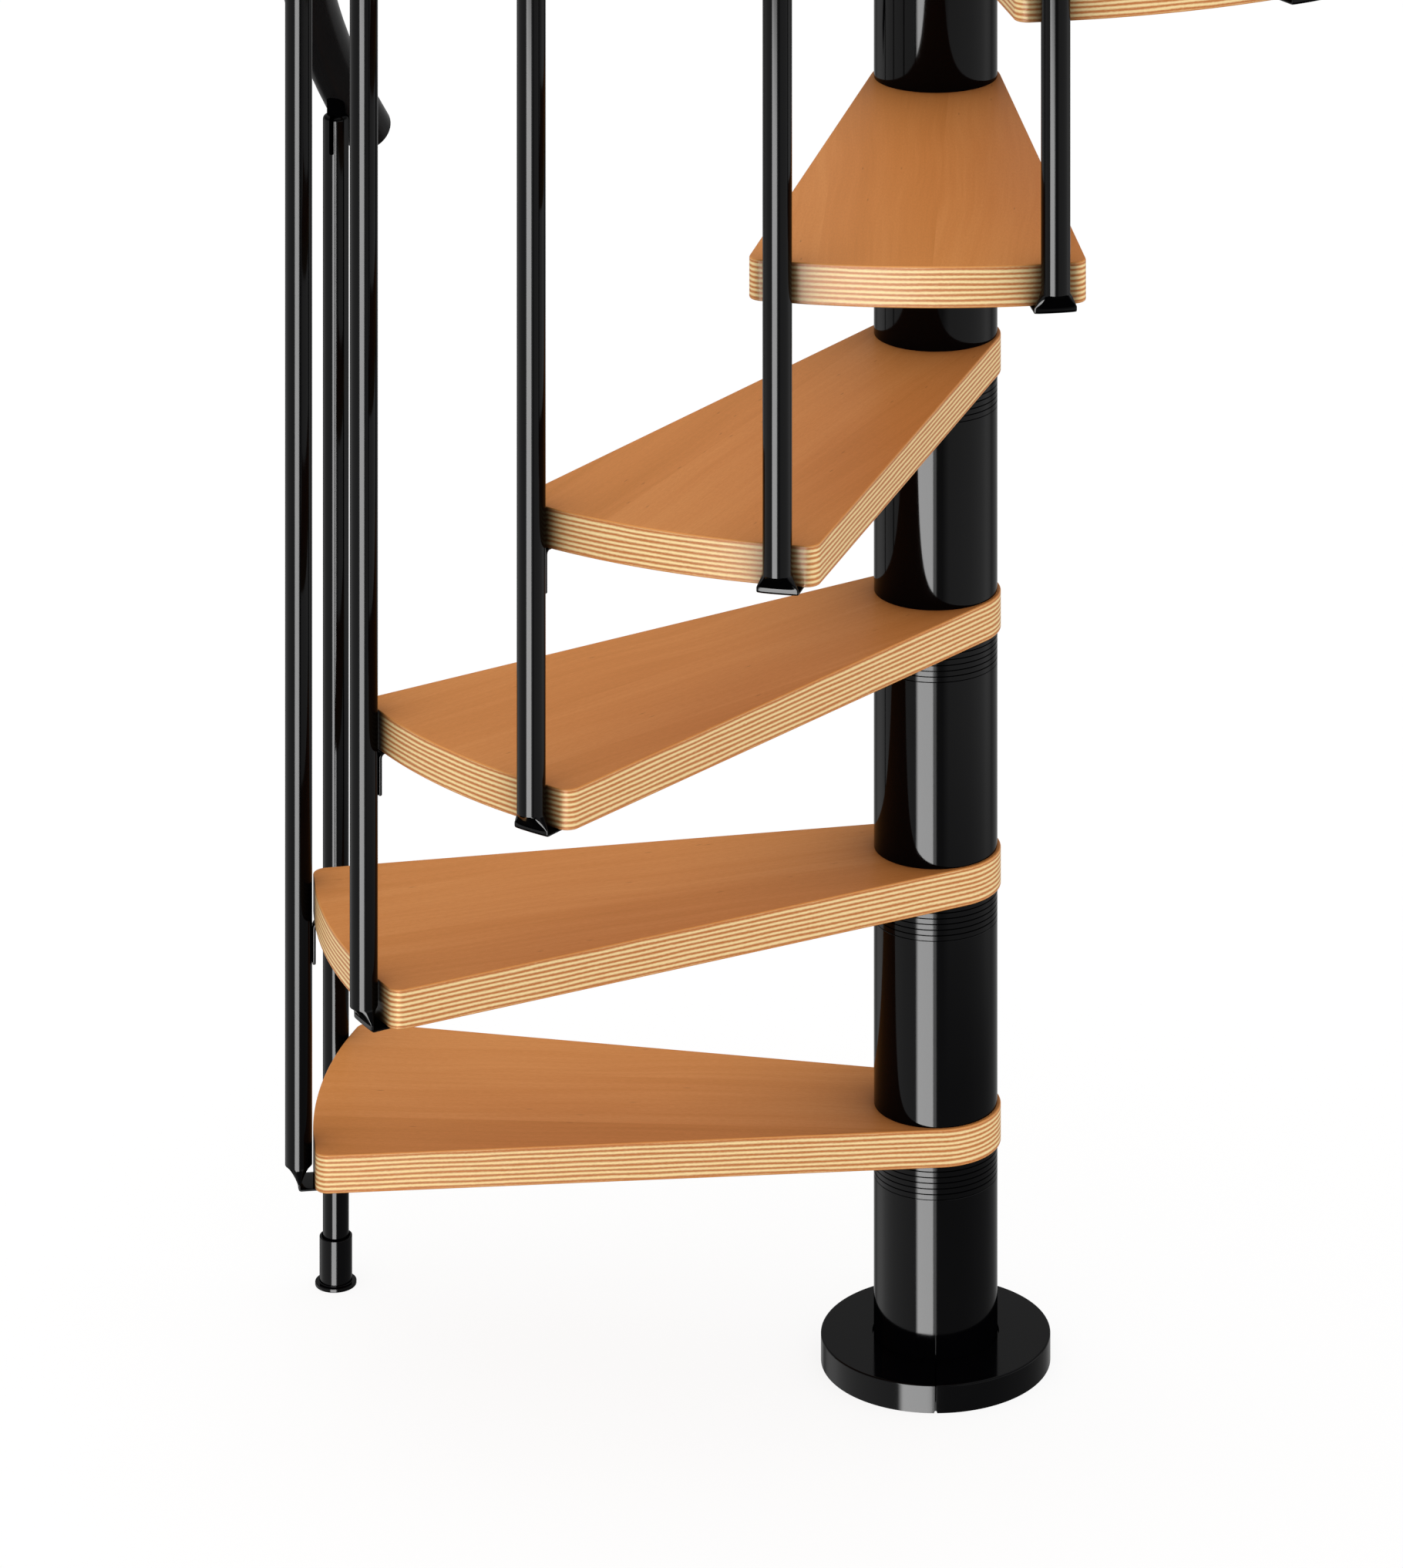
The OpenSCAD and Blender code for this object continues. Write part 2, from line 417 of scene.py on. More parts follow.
@dataclass(frozen=True)
class BeechVeneer:
    """Steamed beech veneer under satin lacquer: calm, warm wood whose staves differ a little in tone."""

    name: str = "lacquered_beech_veneer"
    dark: str = "#C07B3C"
    middle: str = "#CF8748"
    pale: str = "#DB9657"
    fleck: str = "#7E4A27"
    # Where the dark, middle and pale tone lie in the sum of the patterns
    tone_stops: tuple[float, float, float] = (0.15, 0.5, 0.85)
    stave_width: float = 94 * MM
    stave_weight: float = 0.23
    drift_length: float = 300 * MM
    drift_width: float = 40 * MM
    figure: GrainLayer = GrainLayer(length=420 * MM, width=24 * MM, weight=0.45, detail=2.0, wander=0.8)
    streaks: GrainLayer = GrainLayer(length=200 * MM, width=5 * MM, weight=0.35, detail=4.0, wander=0.3)
    # Real pores are finer: they are drawn as wide as they need to show
    pores: GrainLayer = GrainLayer(length=6 * MM, width=1.4 * MM, weight=0.5, detail=2.0, wander=0.0)
    grain_roughness: float = 0.6
    pore_depth: float = 0.04 * MM
    pore_bump: float = 0.3
    fleck_length: float = 46 * MM
    fleck_width: float = 9 * MM
    fleck_share: float = 0.1
    fleck_odds: float = 0.06
    fleck_weight: float = 0.55
    # Shade painted into the colour near the column, the posts and the tread above: how far it reaches and how
    # strong it is
    painted_shade_reach: float = 200 * MM
    painted_shade_power: float = 0.95
    roughness_low: float = 0.38
    roughness_high: float = 0.5
    specular: float = 0.05

    def material(self) -> bpy.types.Material:
        """Builds the finish on the tread's own map, which is in metres along and across the tread.

        Returns:
            The material.
        """
        material = start_material(self.name)
        tree = material.node_tree
        place = add_node(tree, "ShaderNodeUVMap", {}, uv_map=PlywoodTreads.MAP_NAME).outputs[0]
        # Each stave gets a tone of its own, and its grain from another layer of the noise
        across = add_node(tree, "ShaderNodeSeparateXYZ", {0: place}).outputs["Y"]
        staves = add_node(tree, "ShaderNodeMath", {0: across, 1: self.stave_width}, operation="DIVIDE")
        stave = add_node(tree, "ShaderNodeMath", {0: staves.outputs[0]}, operation="FLOOR").outputs[0]
        tone = add_node(tree, "ShaderNodeTexWhiteNoise", {"W": stave}, noise_dimensions="1D").outputs["Value"]
        shift = add_node(tree, "ShaderNodeCombineXYZ", {"X": tone, "Z": stave}).outputs[0]
        straight = add_node(tree, "ShaderNodeVectorMath", {0: place, 1: shift}, operation="ADD").outputs[0]
        drift = add_node(
            tree, "ShaderNodeTexNoise", {"Vector": straight, "Scale": 1 / self.drift_length, "Detail": 1.0}
        ).outputs["Color"]
        own_place = add_node(
            tree,
            "ShaderNodeVectorMath",
            {0: drift, 1: (0.0, self.drift_width, 0.0), 2: straight},
            operation="MULTIPLY_ADD",
        ).outputs[0]
        # The sum of the patterns stays centred, whatever their weights are
        layers = (self.figure, self.streaks, self.pores)
        weights = (self.stave_weight, *(layer.weight for layer in layers))
        total = add_node(
            tree,
            "ShaderNodeMath",
            {0: tone, 1: self.stave_weight, 2: (1 - sum(weights)) * NOISE_MIDDLE},
            operation="MULTIPLY_ADD",
        ).outputs[0]
        for layer in layers:
            stretched = add_node(
                tree,
                "ShaderNodeMapping",
                {"Vector": own_place, "Scale": (1 / layer.length, 1 / layer.width, 1.0)},
            ).outputs[0]
            grain = add_node(
                tree,
                "ShaderNodeTexNoise",
                {
                    "Vector": stretched,
                    "Scale": 1.0,
                    "Detail": layer.detail,
                    "Roughness": self.grain_roughness,
                    "Distortion": layer.wander,
                },
            ).outputs["Fac"]
            total = add_node(
                tree, "ShaderNodeMath", {0: grain, 1: layer.weight, 2: total}, operation="MULTIPLY_ADD"
            ).outputs[0]
        wood = add_node(tree, "ShaderNodeValToRGB", {0: total})
        tones = [linear(colour) for colour in (self.dark, self.middle, self.pale)]
        set_stops(wood.color_ramp, list(zip(self.tone_stops, tones)))
        # Short dark flecks lie in a few cells of a stretched cell pattern
        cells = add_node(
            tree,
            "ShaderNodeMapping",
            {"Vector": own_place, "Scale": (1 / self.fleck_length, 1 / self.fleck_width, 1.0)},
        ).outputs[0]
        cell = add_node(
            tree, "ShaderNodeTexVoronoi", {"Vector": cells, "Scale": 1.0}, voronoi_dimensions="2D"
        ).outputs
        near = add_node(
            tree,
            "ShaderNodeMapRange",
            {
                "Value": cell["Distance"],
                "From Max": self.fleck_share,
                "To Min": self.fleck_weight,
                "To Max": 0.0,
            },
        ).outputs[0]
        draw = add_node(tree, "ShaderNodeSeparateColor", {0: cell["Color"]}).outputs[0]
        chosen = add_node(
            tree, "ShaderNodeMath", {0: draw, 1: self.fleck_odds}, operation="LESS_THAN"
        ).outputs[0]
        flecks = add_node(tree, "ShaderNodeMath", {0: near, 1: chosen}, operation="MULTIPLY").outputs[0]
        colour = add_node(
            tree,
            "ShaderNodeMix",
            {MIX_FACTOR: flecks, MIX_A: wood.outputs["Color"], MIX_B: linear(self.fleck)},
            data_type="RGBA",
        ).outputs[MIX_RESULT]
        roughness = add_node(
            tree,
            "ShaderNodeMapRange",
            {"Value": grain, "To Min": self.roughness_low, "To Max": self.roughness_high},
        ).outputs[0]
        bump = add_node(
            tree, "ShaderNodeBump", {"Strength": self.pore_bump, "Distance": self.pore_depth, "Height": grain}
        ).outputs[0]
        # The base colour carries painted shade near the column, the posts and the tread above
        finish = {
            "Base Color": paint_corner_shade(tree, colour, self.painted_shade_reach, self.painted_shade_power),
            "Roughness": roughness,
            "Specular IOR Level": self.specular,
            "Normal": bump,
        }
        set_inputs(tree, tree.nodes["Principled BSDF"], finish)
        return material


@dataclass(frozen=True)
class PlywoodEdge:
    """Cut edge of beech plywood under the same lacquer: pale and brown plies in turn, between two veneers."""

    name: str = "lacquered_beech_plywood_edge"
    dark: str = "#C47A46"
    light: str = "#FBE0A6"
    face_veneer: str = "#DA9656"
    thickness: float = 34 * MM
    veneer: float = 1.2 * MM
    ply_pairs: float = 7.5
    wave_length: float = 60 * MM
    wave_tall: float = 7 * MM
    wave_height: float = 1.8 * MM
    wave_detail: float = 1.0
    # Real fibres are finer: they are drawn as coarse as they need to show
    fibre_length: float = 3 * MM
    fibre_height: float = 0.8 * MM
    fibre_weight: float = 1.4
    fibre_detail: float = 3.0
    # How far the stripes swing from their middle to a ply's full colour
    stripe_swing: float = 0.85
    ply_depth: float = 0.06 * MM
    ply_bump: float = 0.4
    roughness: float = 0.3
    specular: float = 0.036
    # Shade painted into the colour beside the posts and in corners: how far it reaches and how strong it is
    painted_shade_reach: float = 100 * MM
    painted_shade_power: float = 2.1

    def material(self) -> bpy.types.Material:
        """Builds the finish, whose plies follow the height over the underside in the tread's own map.

        Returns:
            The material.
        """
        material = start_material(self.name)
        tree = material.node_tree
        mapped = add_node(tree, "ShaderNodeUVMap", {}, uv_map=PlywoodTreads.MAP_NAME).outputs[0]
        height = add_node(tree, "ShaderNodeSeparateXYZ", {0: mapped}).outputs["Y"]
        place = add_node(tree, "ShaderNodeTexCoord", {}).outputs["Object"]
        patterns = []
        for length, tall, detail in (
            (self.wave_length, self.wave_tall, self.wave_detail),
            (self.fibre_length, self.fibre_height, self.fibre_detail),
        ):
            stretched = add_node(
                tree, "ShaderNodeMapping", {"Vector": place, "Scale": (1 / length, 1 / length, 1 / tall)}
            ).outputs[0]
            noise = add_node(
                tree, "ShaderNodeTexNoise", {"Vector": stretched, "Scale": 1.0, "Detail": detail}
            ).outputs["Fac"]
            patterns.append(noise)
        wave, fibres = patterns
        # The glue lines wander a little as they go along the edge
        core = self.thickness - 2 * self.veneer
        turns = self.ply_pairs * FULL_TURN
        level = add_node(
            tree,
            "ShaderNodeMapRange",
            {"Value": height, "From Min": self.veneer, "From Max": self.veneer + core, "To Max": turns},
            clamp=False,
        ).outputs[0]
        swing = self.wave_height / core * turns
        centred = add_node(
            tree, "ShaderNodeMath", {0: wave, 1: NOISE_MIDDLE}, operation="SUBTRACT"
        ).outputs[0]
        bent = add_node(
            tree, "ShaderNodeMath", {0: centred, 1: swing, 2: level}, operation="MULTIPLY_ADD"
        ).outputs[0]
        stripes = add_node(tree, "ShaderNodeMath", {0: bent}, operation="SINE").outputs[0]
        speckled = add_node(
            tree, "ShaderNodeMath", {0: fibres, 1: self.fibre_weight, 2: stripes}, operation="MULTIPLY_ADD"
        ).outputs[0]
        middle = self.fibre_weight * NOISE_MIDDLE
        plies = add_node(
            tree,
            "ShaderNodeMapRange",
            {
                "Value": speckled,
                "From Min": middle + self.stripe_swing,
                "From Max": middle - self.stripe_swing,
            },
        ).outputs[0]
        core_colour = add_node(
            tree,
            "ShaderNodeMix",
            {MIX_FACTOR: plies, MIX_A: linear(self.dark), MIX_B: linear(self.light)},
            data_type="RGBA",
        ).outputs[MIX_RESULT]
        from_middle = add_node(
            tree, "ShaderNodeMath", {0: height, 1: self.thickness / 2}, operation="SUBTRACT"
        ).outputs[0]
        outwards = add_node(tree, "ShaderNodeMath", {0: from_middle}, operation="ABSOLUTE").outputs[0]
        is_veneer = add_node(
            tree, "ShaderNodeMath", {0: outwards, 1: core / 2}, operation="GREATER_THAN"
        ).outputs[0]
        colour = add_node(
            tree,
            "ShaderNodeMix",
            {MIX_FACTOR: is_veneer, MIX_A: core_colour, MIX_B: linear(self.face_veneer)},
            data_type="RGBA",
        ).outputs[MIX_RESULT]
        bump = add_node(
            tree, "ShaderNodeBump", {"Strength": self.ply_bump, "Distance": self.ply_depth, "Height": plies}
        ).outputs[0]
        # The base colour carries painted shade beside the posts and in corners
        finish = {
            "Base Color": paint_corner_shade(tree, colour, self.painted_shade_reach, self.painted_shade_power),
            "Roughness": self.roughness,
            "Specular IOR Level": self.specular,
            "Normal": bump,
        }
        set_inputs(tree, tree.nodes["Principled BSDF"], finish)
        return material


@dataclass(frozen=True)
class BlackCoat:
    """Black surface under a clear gloss: deep black that mirrors the lights in strips.

    A slight orange peel and patches of a little more or less gloss keep the mirror image from being perfect.
    """

    name: str
    colour: str
    worn: str
    roughness_low: float
    roughness_high: float
    peel_size: float
    peel_depth: float
    specular: float
    patch_size: float = 60 * MM
    patch_detail: float = 4.0
    peel_detail: float = 2.0
    ior: float = 1.5

    def material(self) -> bpy.types.Material:
        """Builds the finish on object coordinates.

        Returns:
            The material.
        """
        material = start_material(self.name)
        tree = material.node_tree
        place = add_node(tree, "ShaderNodeTexCoord", {}).outputs["Object"]
        patterns = []
        for size, detail in ((self.patch_size, self.patch_detail), (self.peel_size, self.peel_detail)):
            noise = add_node(
                tree, "ShaderNodeTexNoise", {"Vector": place, "Scale": 1 / size, "Detail": detail}
            ).outputs["Fac"]
            patterns.append(noise)
        patches, peel = patterns
        colour = add_node(
            tree,
            "ShaderNodeMix",
            {MIX_FACTOR: patches, MIX_A: linear(self.colour), MIX_B: linear(self.worn)},
            data_type="RGBA",
        ).outputs[MIX_RESULT]
        roughness = add_node(
            tree,
            "ShaderNodeMapRange",
            {"Value": patches, "To Min": self.roughness_low, "To Max": self.roughness_high},
        ).outputs[0]
        bump = add_node(
            tree, "ShaderNodeBump", {"Strength": 1.0, "Distance": self.peel_depth, "Height": peel}
        ).outputs[0]
        finish = {
            "Base Color": colour,
            "Roughness": roughness,
            "IOR": self.ior,
            "Specular IOR Level": self.specular,
            "Normal": bump,
        }
        set_inputs(tree, tree.nodes["Principled BSDF"], finish)
        return material


# Powder-coated steel: thick glossy paint with a very slight orange peel
PAINTED_STEEL = BlackCoat(
    name="gloss_black_painted_steel",
    colour="#020203",
    worn="#040405",
    roughness_low=0.05,
    roughness_high=0.11,
    peel_size=3 * MM,
    peel_depth=0.0015 * MM,
    specular=0.06,
)
# Injection-moulded ABS: polished mould, a little softer in its reflections than paint
MOULDED_ABS = BlackCoat(
    name="polished_black_moulded_abs",
    colour="#020203",
    worn="#040405",
    roughness_low=0.07,
    roughness_high=0.14,
    peel_size=2 * MM,
    peel_depth=0.001 * MM,
    specular=0.06,
)
# Extruded PVC: satin skin that a hand glides on, with broad soft reflections
SATIN_PVC = BlackCoat(
    name="satin_black_extruded_pvc",
    colour="#171718",
    worn="#1B1B1C",
    roughness_low=0.2,
    roughness_high=0.28,
    peel_size=1.2 * MM,
    peel_depth=0.004 * MM,
    specular=0.06,
)
# Moulded rubber: dull black that hardly mirrors anything
MATT_RUBBER = BlackCoat(
    name="matt_black_moulded_rubber",
    colour="#020203",
    worn="#040405",
    roughness_low=0.55,
    roughness_high=0.65,
    peel_size=0.8 * MM,
    peel_depth=0.01 * MM,
    specular=0.0,
)


@dataclass
class PlywoodTreads:
    """Winder treads with a round hub, two straight edges and an outer edge about the column's axis."""

    plan: StairPlan
    radius: float = 556 * MM
    hub_radius: float = 58.5 * MM
    edge_angle: float = math.radians(8.4)
    corner_radius: float = 12 * MM
    arris: float = 1.3 * MM
    arris_steps: int = 3
    outer_steps: int = 40
    corner_steps: int = 10
    hub_steps: int = 40
    # Shift of the wood's pattern from one tread to the next, along and across
    pattern_shift: tuple[float, float] = (0.731, 0.317)
    # Faces that lie flatter than this are veneered faces
    flat_share: float = 0.9
    MAP_NAME: ClassVar[str] = "wood_metres"

    def outline(self, bm: BMesh) -> BMFace:
        """Draws the tread's outline by swinging points about the corner centres and the column's axis.

        Args:
            bm: the mesh to draw in.

        Returns:
            The face that the outline bounds.
        """
        across = self.hub_radius - self.corner_radius
        along = math.sqrt((self.radius - self.corner_radius) ** 2 - across**2)
        upper = Matrix.Rotation(self.edge_angle, 3, "Z") @ Vector((along, across, 0))
        lower = Vector((upper.x, -upper.y, 0))
        corner_angle = math.atan2(upper.y, upper.x)
        square = RIGHT_ANGLE + self.edge_angle
        corner_turn = square - corner_angle
        away = Vector((math.cos(square), math.sin(square), 0))
        start = bm.verts.new(lower + self.corner_radius * Vector((away.x, -away.y, 0)))
        point = start
        for centre, turn, steps in (
            (lower, corner_turn, self.corner_steps),
            (Vector(), 2 * corner_angle, self.outer_steps),
            (upper, corner_turn, self.corner_steps),
        ):
            point = self.swing(bm, point, centre, turn, steps)
        hub_start = bm.verts.new(self.hub_radius * away)
        hub_end = self.swing(bm, hub_start, Vector(), FULL_TURN - 2 * square, self.hub_steps)
        bm.edges.new((point, hub_start))
        bm.edges.new((hub_end, start))
        return bmesh.ops.contextual_create(bm, geom=bm.edges[:])["faces"][0]

    @staticmethod
    def swing(bm: BMesh, point: BMVert, centre: Vector, turn: float, steps: int) -> BMVert:
        """Swings a point about an upright axis and returns the last point of the arc."""
        made = bmesh.ops.spin(bm, geom=[point], cent=centre, axis=UP, angle=turn, steps=steps)
        return only(BMVert, made["geom_last"])[0]

    def build_tread(self, n: int) -> BMesh:
        """Builds tread n at its place.

        Args:
            n: the tread's number, from 1.

        Returns:
            The tread's mesh, with its faces mapped in metres.
        """
        bm = bmesh.new()
        made = bmesh.ops.extrude_face_region(bm, geom=[self.outline(bm)])["geom"]
        bmesh.ops.translate(bm, vec=UP * self.plan.tread_thickness, verts=only(BMVert, made))
        bmesh.ops.recalc_face_normals(bm, faces=bm.faces)
        ease(bm, corner_edges(bm), self.arris, self.arris_steps)
        self.map_faces(bm, n)
        bmesh.ops.transform(bm, matrix=self.plan.at_tread(n), verts=bm.verts)
        return bm

    def map_faces(self, bm: BMesh, n: int) -> None:
        """Maps the veneered faces along and across the tread, and the cut edges by their height.

        Args:
            bm: the tread's mesh, before it is placed.
            n: the tread's number, which shifts its pattern.
        """
        layer = bm.loops.layers.uv.new(self.MAP_NAME)
        shift = n * Vector(self.pattern_shift)
        bm.normal_update()
        for face in bm.faces:
            is_edge = abs(face.normal.z) < self.flat_share
            face.material_index = int(is_edge)
            for loop in face.loops:
                x, y, z = loop.vert.co
                loop[layer].uv = (x, z) if is_edge else (x + shift.x, y + shift.y)

    def dress(self, veneer: bpy.types.Material, edge: bpy.types.Material) -> None:
        """Makes every tread a piece.

        Args:
            veneer: finish of the faces.
            edge: finish of the cut edges.
        """
        for n in self.plan.treads:
            name = numbered("plywood_tread", n)
            make_piece(self.build_tread(n), name, (veneer, edge), (numbered("tread", n),))


@dataclass
class TubeColumn:
    """Column of short tubes, with a stack of adjusting rings under each tread and a cap on the last."""

    plan: StairPlan
    wall: float = 3 * MM
    rim: float = 0.6 * MM
    rim_steps: int = 2
    ring_count: int = 6
    ring_thickness: float = 5 * MM
    groove_width: float = 1 * MM
    groove_depth: float = 1.2 * MM
    ring_bore_share: float = 0.8
    cap_rim: float = 5 * MM
    cap_steps: int = 6
    steps: int = 96

    def build_tube(self, low: float, high: float) -> BMesh:
        """Turns one tube and eases its outer rims.

        Args:
            low: height of the lower end.
            high: height of the upper end.

        Returns:
            The mesh.
        """
        outer = self.plan.column_radius
        inner = outer - self.wall
        bm = bmesh.new()
        turn_profile(bm, ((inner, low), (outer, low), (outer, high), (inner, high)), self.steps)
        rims = [edge for edge in corner_edges(bm) if edge.verts[0].co.xy.length > outer - NEAR]
        ease(bm, rims, self.rim, self.rim_steps)
        return bm

    def build_ring(self, low: float) -> BMesh:
        """Turns one ring, which is narrower at its two ends so that a groove shows between two rings.

        Args:
            low: height of the lower end.

        Returns:
            The mesh.
        """
        outer = self.plan.column_radius
        inner = self.ring_bore_share * outer
        waist = outer - self.groove_depth
        high = low + self.ring_thickness
        step = self.groove_width / 2
        profile = (
            (inner, low),
            (waist, low),
            (waist, low + step),
            (outer, low + step),
            (outer, high - step),
            (waist, high - step),
            (waist, high),
            (inner, high),
        )
        bm = bmesh.new()
        turn_profile(bm, profile, self.steps)
        return bm

    def build_stacks(self) -> BMesh:
        """Builds the rings of all stacks, each ring a solid of its own.

        Returns:
            The mesh of the rings.
        """
        rings = []
        for n in self.plan.treads:
            for i in range(1, self.ring_count + 1):
                rings.append(self.build_ring(self.plan.tread_under(n) - i * self.ring_thickness))
        return gather(rings)

    def build_cap(self) -> BMesh:
        """Turns the cap with its rounded top edge.

        Returns:
            The mesh of the cap.
        """
        low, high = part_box("column_cap")
        radius = self.plan.column_radius
        bm = bmesh.new()
        turn_profile(bm, ((0, low.z), (radius, low.z), (radius, high.z), (0, high.z)), self.steps)
        top = [edge for edge in corner_edges(bm) if edge.verts[0].co.z > high.z - NEAR]
        ease(bm, top, self.cap_rim, self.cap_steps)
        return bm

    def dress(self, paint: bpy.types.Material, plastic: bpy.types.Material) -> None:
        """Makes the tubes, the rings and the cap pieces.

        Args:
            paint: finish of the tubes.
            plastic: finish of the rings and the cap.
        """
        for n in self.plan.treads:
            node = numbered("column_tube", n)
            low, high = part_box(node)
            tube = self.build_tube(low.z, high.z)
            make_piece(tube, numbered("painted_tube", n), (paint,), (node,))
        make_piece(self.build_stacks(), "adjusting_rings", (plastic,), ("spacer_rings",))
        make_piece(self.build_cap(), "column_top_cap", (plastic,), ("column_cap",))


@dataclass
class SplitBaseCover:
    """Low round cover over the floor plate, in two halves that meet at a seam with a notch at its foot."""

    plan: StairPlan
    wall: float = 3 * MM
    play: float = 1.4 * MM
    seam: float = 1 * MM
    notch_width: float = 3 * MM
    notch_height: float = 2.4 * MM
    rim: float = 1.5 * MM
    rim_steps: int = 4
    steps: int = 64

    def build_half(self, seam_angle: float) -> BMesh:
        """Sweeps one half of the cover from seam to seam.

        Args:
            seam_angle: direction of the seam that the half starts at.

        Returns:
            The half's mesh.
        """
        low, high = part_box("base_cover")
        outer = high.y
        inner = self.plan.column_radius + self.play
        gap = self.seam / 2 / outer
        notch = self.notch_width / 2 / outer - gap
        bm = bmesh.new()
        corners = [
            bm.verts.new((radius, 0, height))
            for radius, height in (
                (inner, high.z - self.wall),
                (outer - self.wall, high.z - self.wall),
                (outer - self.wall, low.z),
                (outer, low.z),
                (outer, high.z),
                (inner, high.z),
            )
        ]
        face = bm.faces.new(corners)
        feet = [vert for vert in corners if vert.co.z < low.z + NEAR]
        section = [face, *face.edges, *corners]
        for turn, steps in ((notch, 1), (HALF_TURN - 2 * (gap + notch), self.steps), (notch, 1)):
            made = bmesh.ops.spin(bm, geom=section, cent=(0, 0, 0), axis=UP, angle=turn, steps=steps)
            section = made["geom_last"]
        feet += [vert for vert in only(BMVert, section) if vert.co.z < low.z + NEAR]
        bmesh.ops.translate(bm, vec=UP * self.notch_height, verts=feet)
        turn = Matrix.Rotation(seam_angle + gap, 3, "Z")
        bmesh.ops.rotate(bm, cent=(0, 0, 0), matrix=turn, verts=bm.verts)
        bmesh.ops.recalc_face_normals(bm, faces=bm.faces)
        top_rim = [
            edge
            for edge in corner_edges(bm)
            if all(vert.co.z > high.z - NEAR and vert.co.xy.length > outer - NEAR for vert in edge.verts)
        ]
        ease(bm, top_rim, self.rim, self.rim_steps)
        return bm

    def dress(self, plastic: bpy.types.Material) -> None:
        """Makes the two halves one piece of two shells."""
        halves = gather(self.build_half(seam_angle) for seam_angle in (-RIGHT_ANGLE, RIGHT_ANGLE))
        make_piece(halves, "split_base_cover", (plastic,), ("base_cover",))


@dataclass
class RoundPosts:
    """Balusters and newel post: round bars with slotted tops. A baluster's foot is flattened and bent."""

    plan: StairPlan
    top_round: float = 5 * MM
    top_steps: int = 5
    slot_width: float = 4.5 * MM
    slot_length: float = 35 * MM
    slot_steps: int = 4
    # Points on the slot's floor that are closer than this are one point
    slot_weld: float = 0.15 * MM
    flat_width: float = 35 * MM
    flat_thickness: float = 2.6 * MM
    flat_height: float = 15 * MM
    # The flattened stretch hollows in a little, and its section goes from a circle to a slim box
    flat_power: float = 0.75
    box_power: float = 0.3
    foot_length: float = 44 * MM
    # Upright stretch between the flattened one and the bend
    lip: float = 2.2 * MM
    bend_radius: float = 0.4 * MM
    bend_steps: int = 5
    taper_steps: int = 8
    steps: int = 40

    def build_bar(self, low: float, high: float) -> BMesh:
        """Builds an upright round bar with a slotted top and an open lower end, on the Z axis.

        Args:
            low: height of the lower end.
            high: height of the top.

        Returns:
            The bar's mesh.
        """
        bm = bmesh.new()
        half_step = Matrix.Rotation(HALF_TURN / self.steps, 4, "Z")
        foot = Matrix.Translation((0, 0, low)) @ half_step
        bmesh.ops.create_circle(bm, segments=self.steps, radius=self.plan.post_radius, matrix=foot)
        made = bmesh.ops.extrude_edge_only(bm, edges=bm.edges[:])["geom"]
        bmesh.ops.translate(bm, vec=UP * (high - low), verts=only(BMVert, made))
        bmesh.ops.contextual_create(bm, geom=only(BMEdge, made))
        bmesh.ops.recalc_face_normals(bm, faces=bm.faces)
        ease(bm, corner_edges(bm), self.top_round, self.top_steps)
        self.cut_slot(bm, high)
        return bm

    def cut_slot(self, bm: BMesh, high: float) -> None:
        """Cuts the slot, which lies in line with the handrail, into a bar's top and rounds its floor.

        Args:
            bm: the bar's mesh.
            high: height of the bar's top.
        """
        floor = high - self.slot_length
        half = self.slot_width / 2
        for point, normal in (((0, 0, floor), UP), ((half, 0, 0), (1, 0, 0)), ((-half, 0, 0), (1, 0, 0))):
            upper = [face for face in bm.faces if max(vert.co.z for vert in face.verts) > floor + NEAR]
            edges = {edge for face in upper for edge in face.edges}
            verts = {vert for face in upper for vert in face.verts}
            bmesh.ops.bisect_plane(
                bm, geom=[*verts, *edges, *upper], dist=WELD, plane_co=point, plane_no=normal
            )
        gap = []
        for face in bm.faces:
            middle = face.calc_center_median()
            if middle.z > floor and abs(middle.x) < half:
                gap.append(face)
        bmesh.ops.delete(bm, geom=gap, context="FACES")
        open_edges = [edge for edge in bm.edges if edge.is_boundary]
        rim = [edge for edge in open_edges if min(vert.co.z for vert in edge.verts) > floor - NEAR]
        across = [edge for edge in rim if max(vert.co.z for vert in edge.verts) < floor + NEAR]
        corners = {vert for edge in across for vert in edge.verts if abs(abs(vert.co.x) - half) < NEAR}
        sides = {}
        for x in (-half, half):
            sides[x] = bm.edges.new([vert for vert in corners if abs(vert.co.x - x) < NEAR])
        bmesh.ops.contextual_create(bm, geom=across + list(sides.values()))
        for x, side in sides.items():
            wall = [edge for edge in rim if all(abs(vert.co.x - x) < NEAR for vert in edge.verts)]
            bmesh.ops.contextual_create(bm, geom=[*wall, side])
        bmesh.ops.recalc_face_normals(bm, faces=bm.faces)
        ease(bm, sides.values(), half - NEAR, self.slot_steps)
        lowest = [vert for vert in bm.verts if abs(vert.co.z - floor) < NEAR]
        bmesh.ops.remove_doubles(bm, verts=lowest, dist=self.slot_weld)
        bmesh.ops.recalc_face_normals(bm, faces=bm.faces)

    def build_newel(self) -> BMesh:
        """Builds the newel post at its place.

        Returns:
            The newel's mesh.
        """
        low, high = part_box("newel_post")
        bm = self.build_bar(low.z, high.z)
        bmesh.ops.contextual_create(bm, geom=[edge for edge in bm.edges if edge.is_boundary])
        bmesh.ops.transform(bm, matrix=self.plan.at_post(0), verts=bm.verts)
        return bm

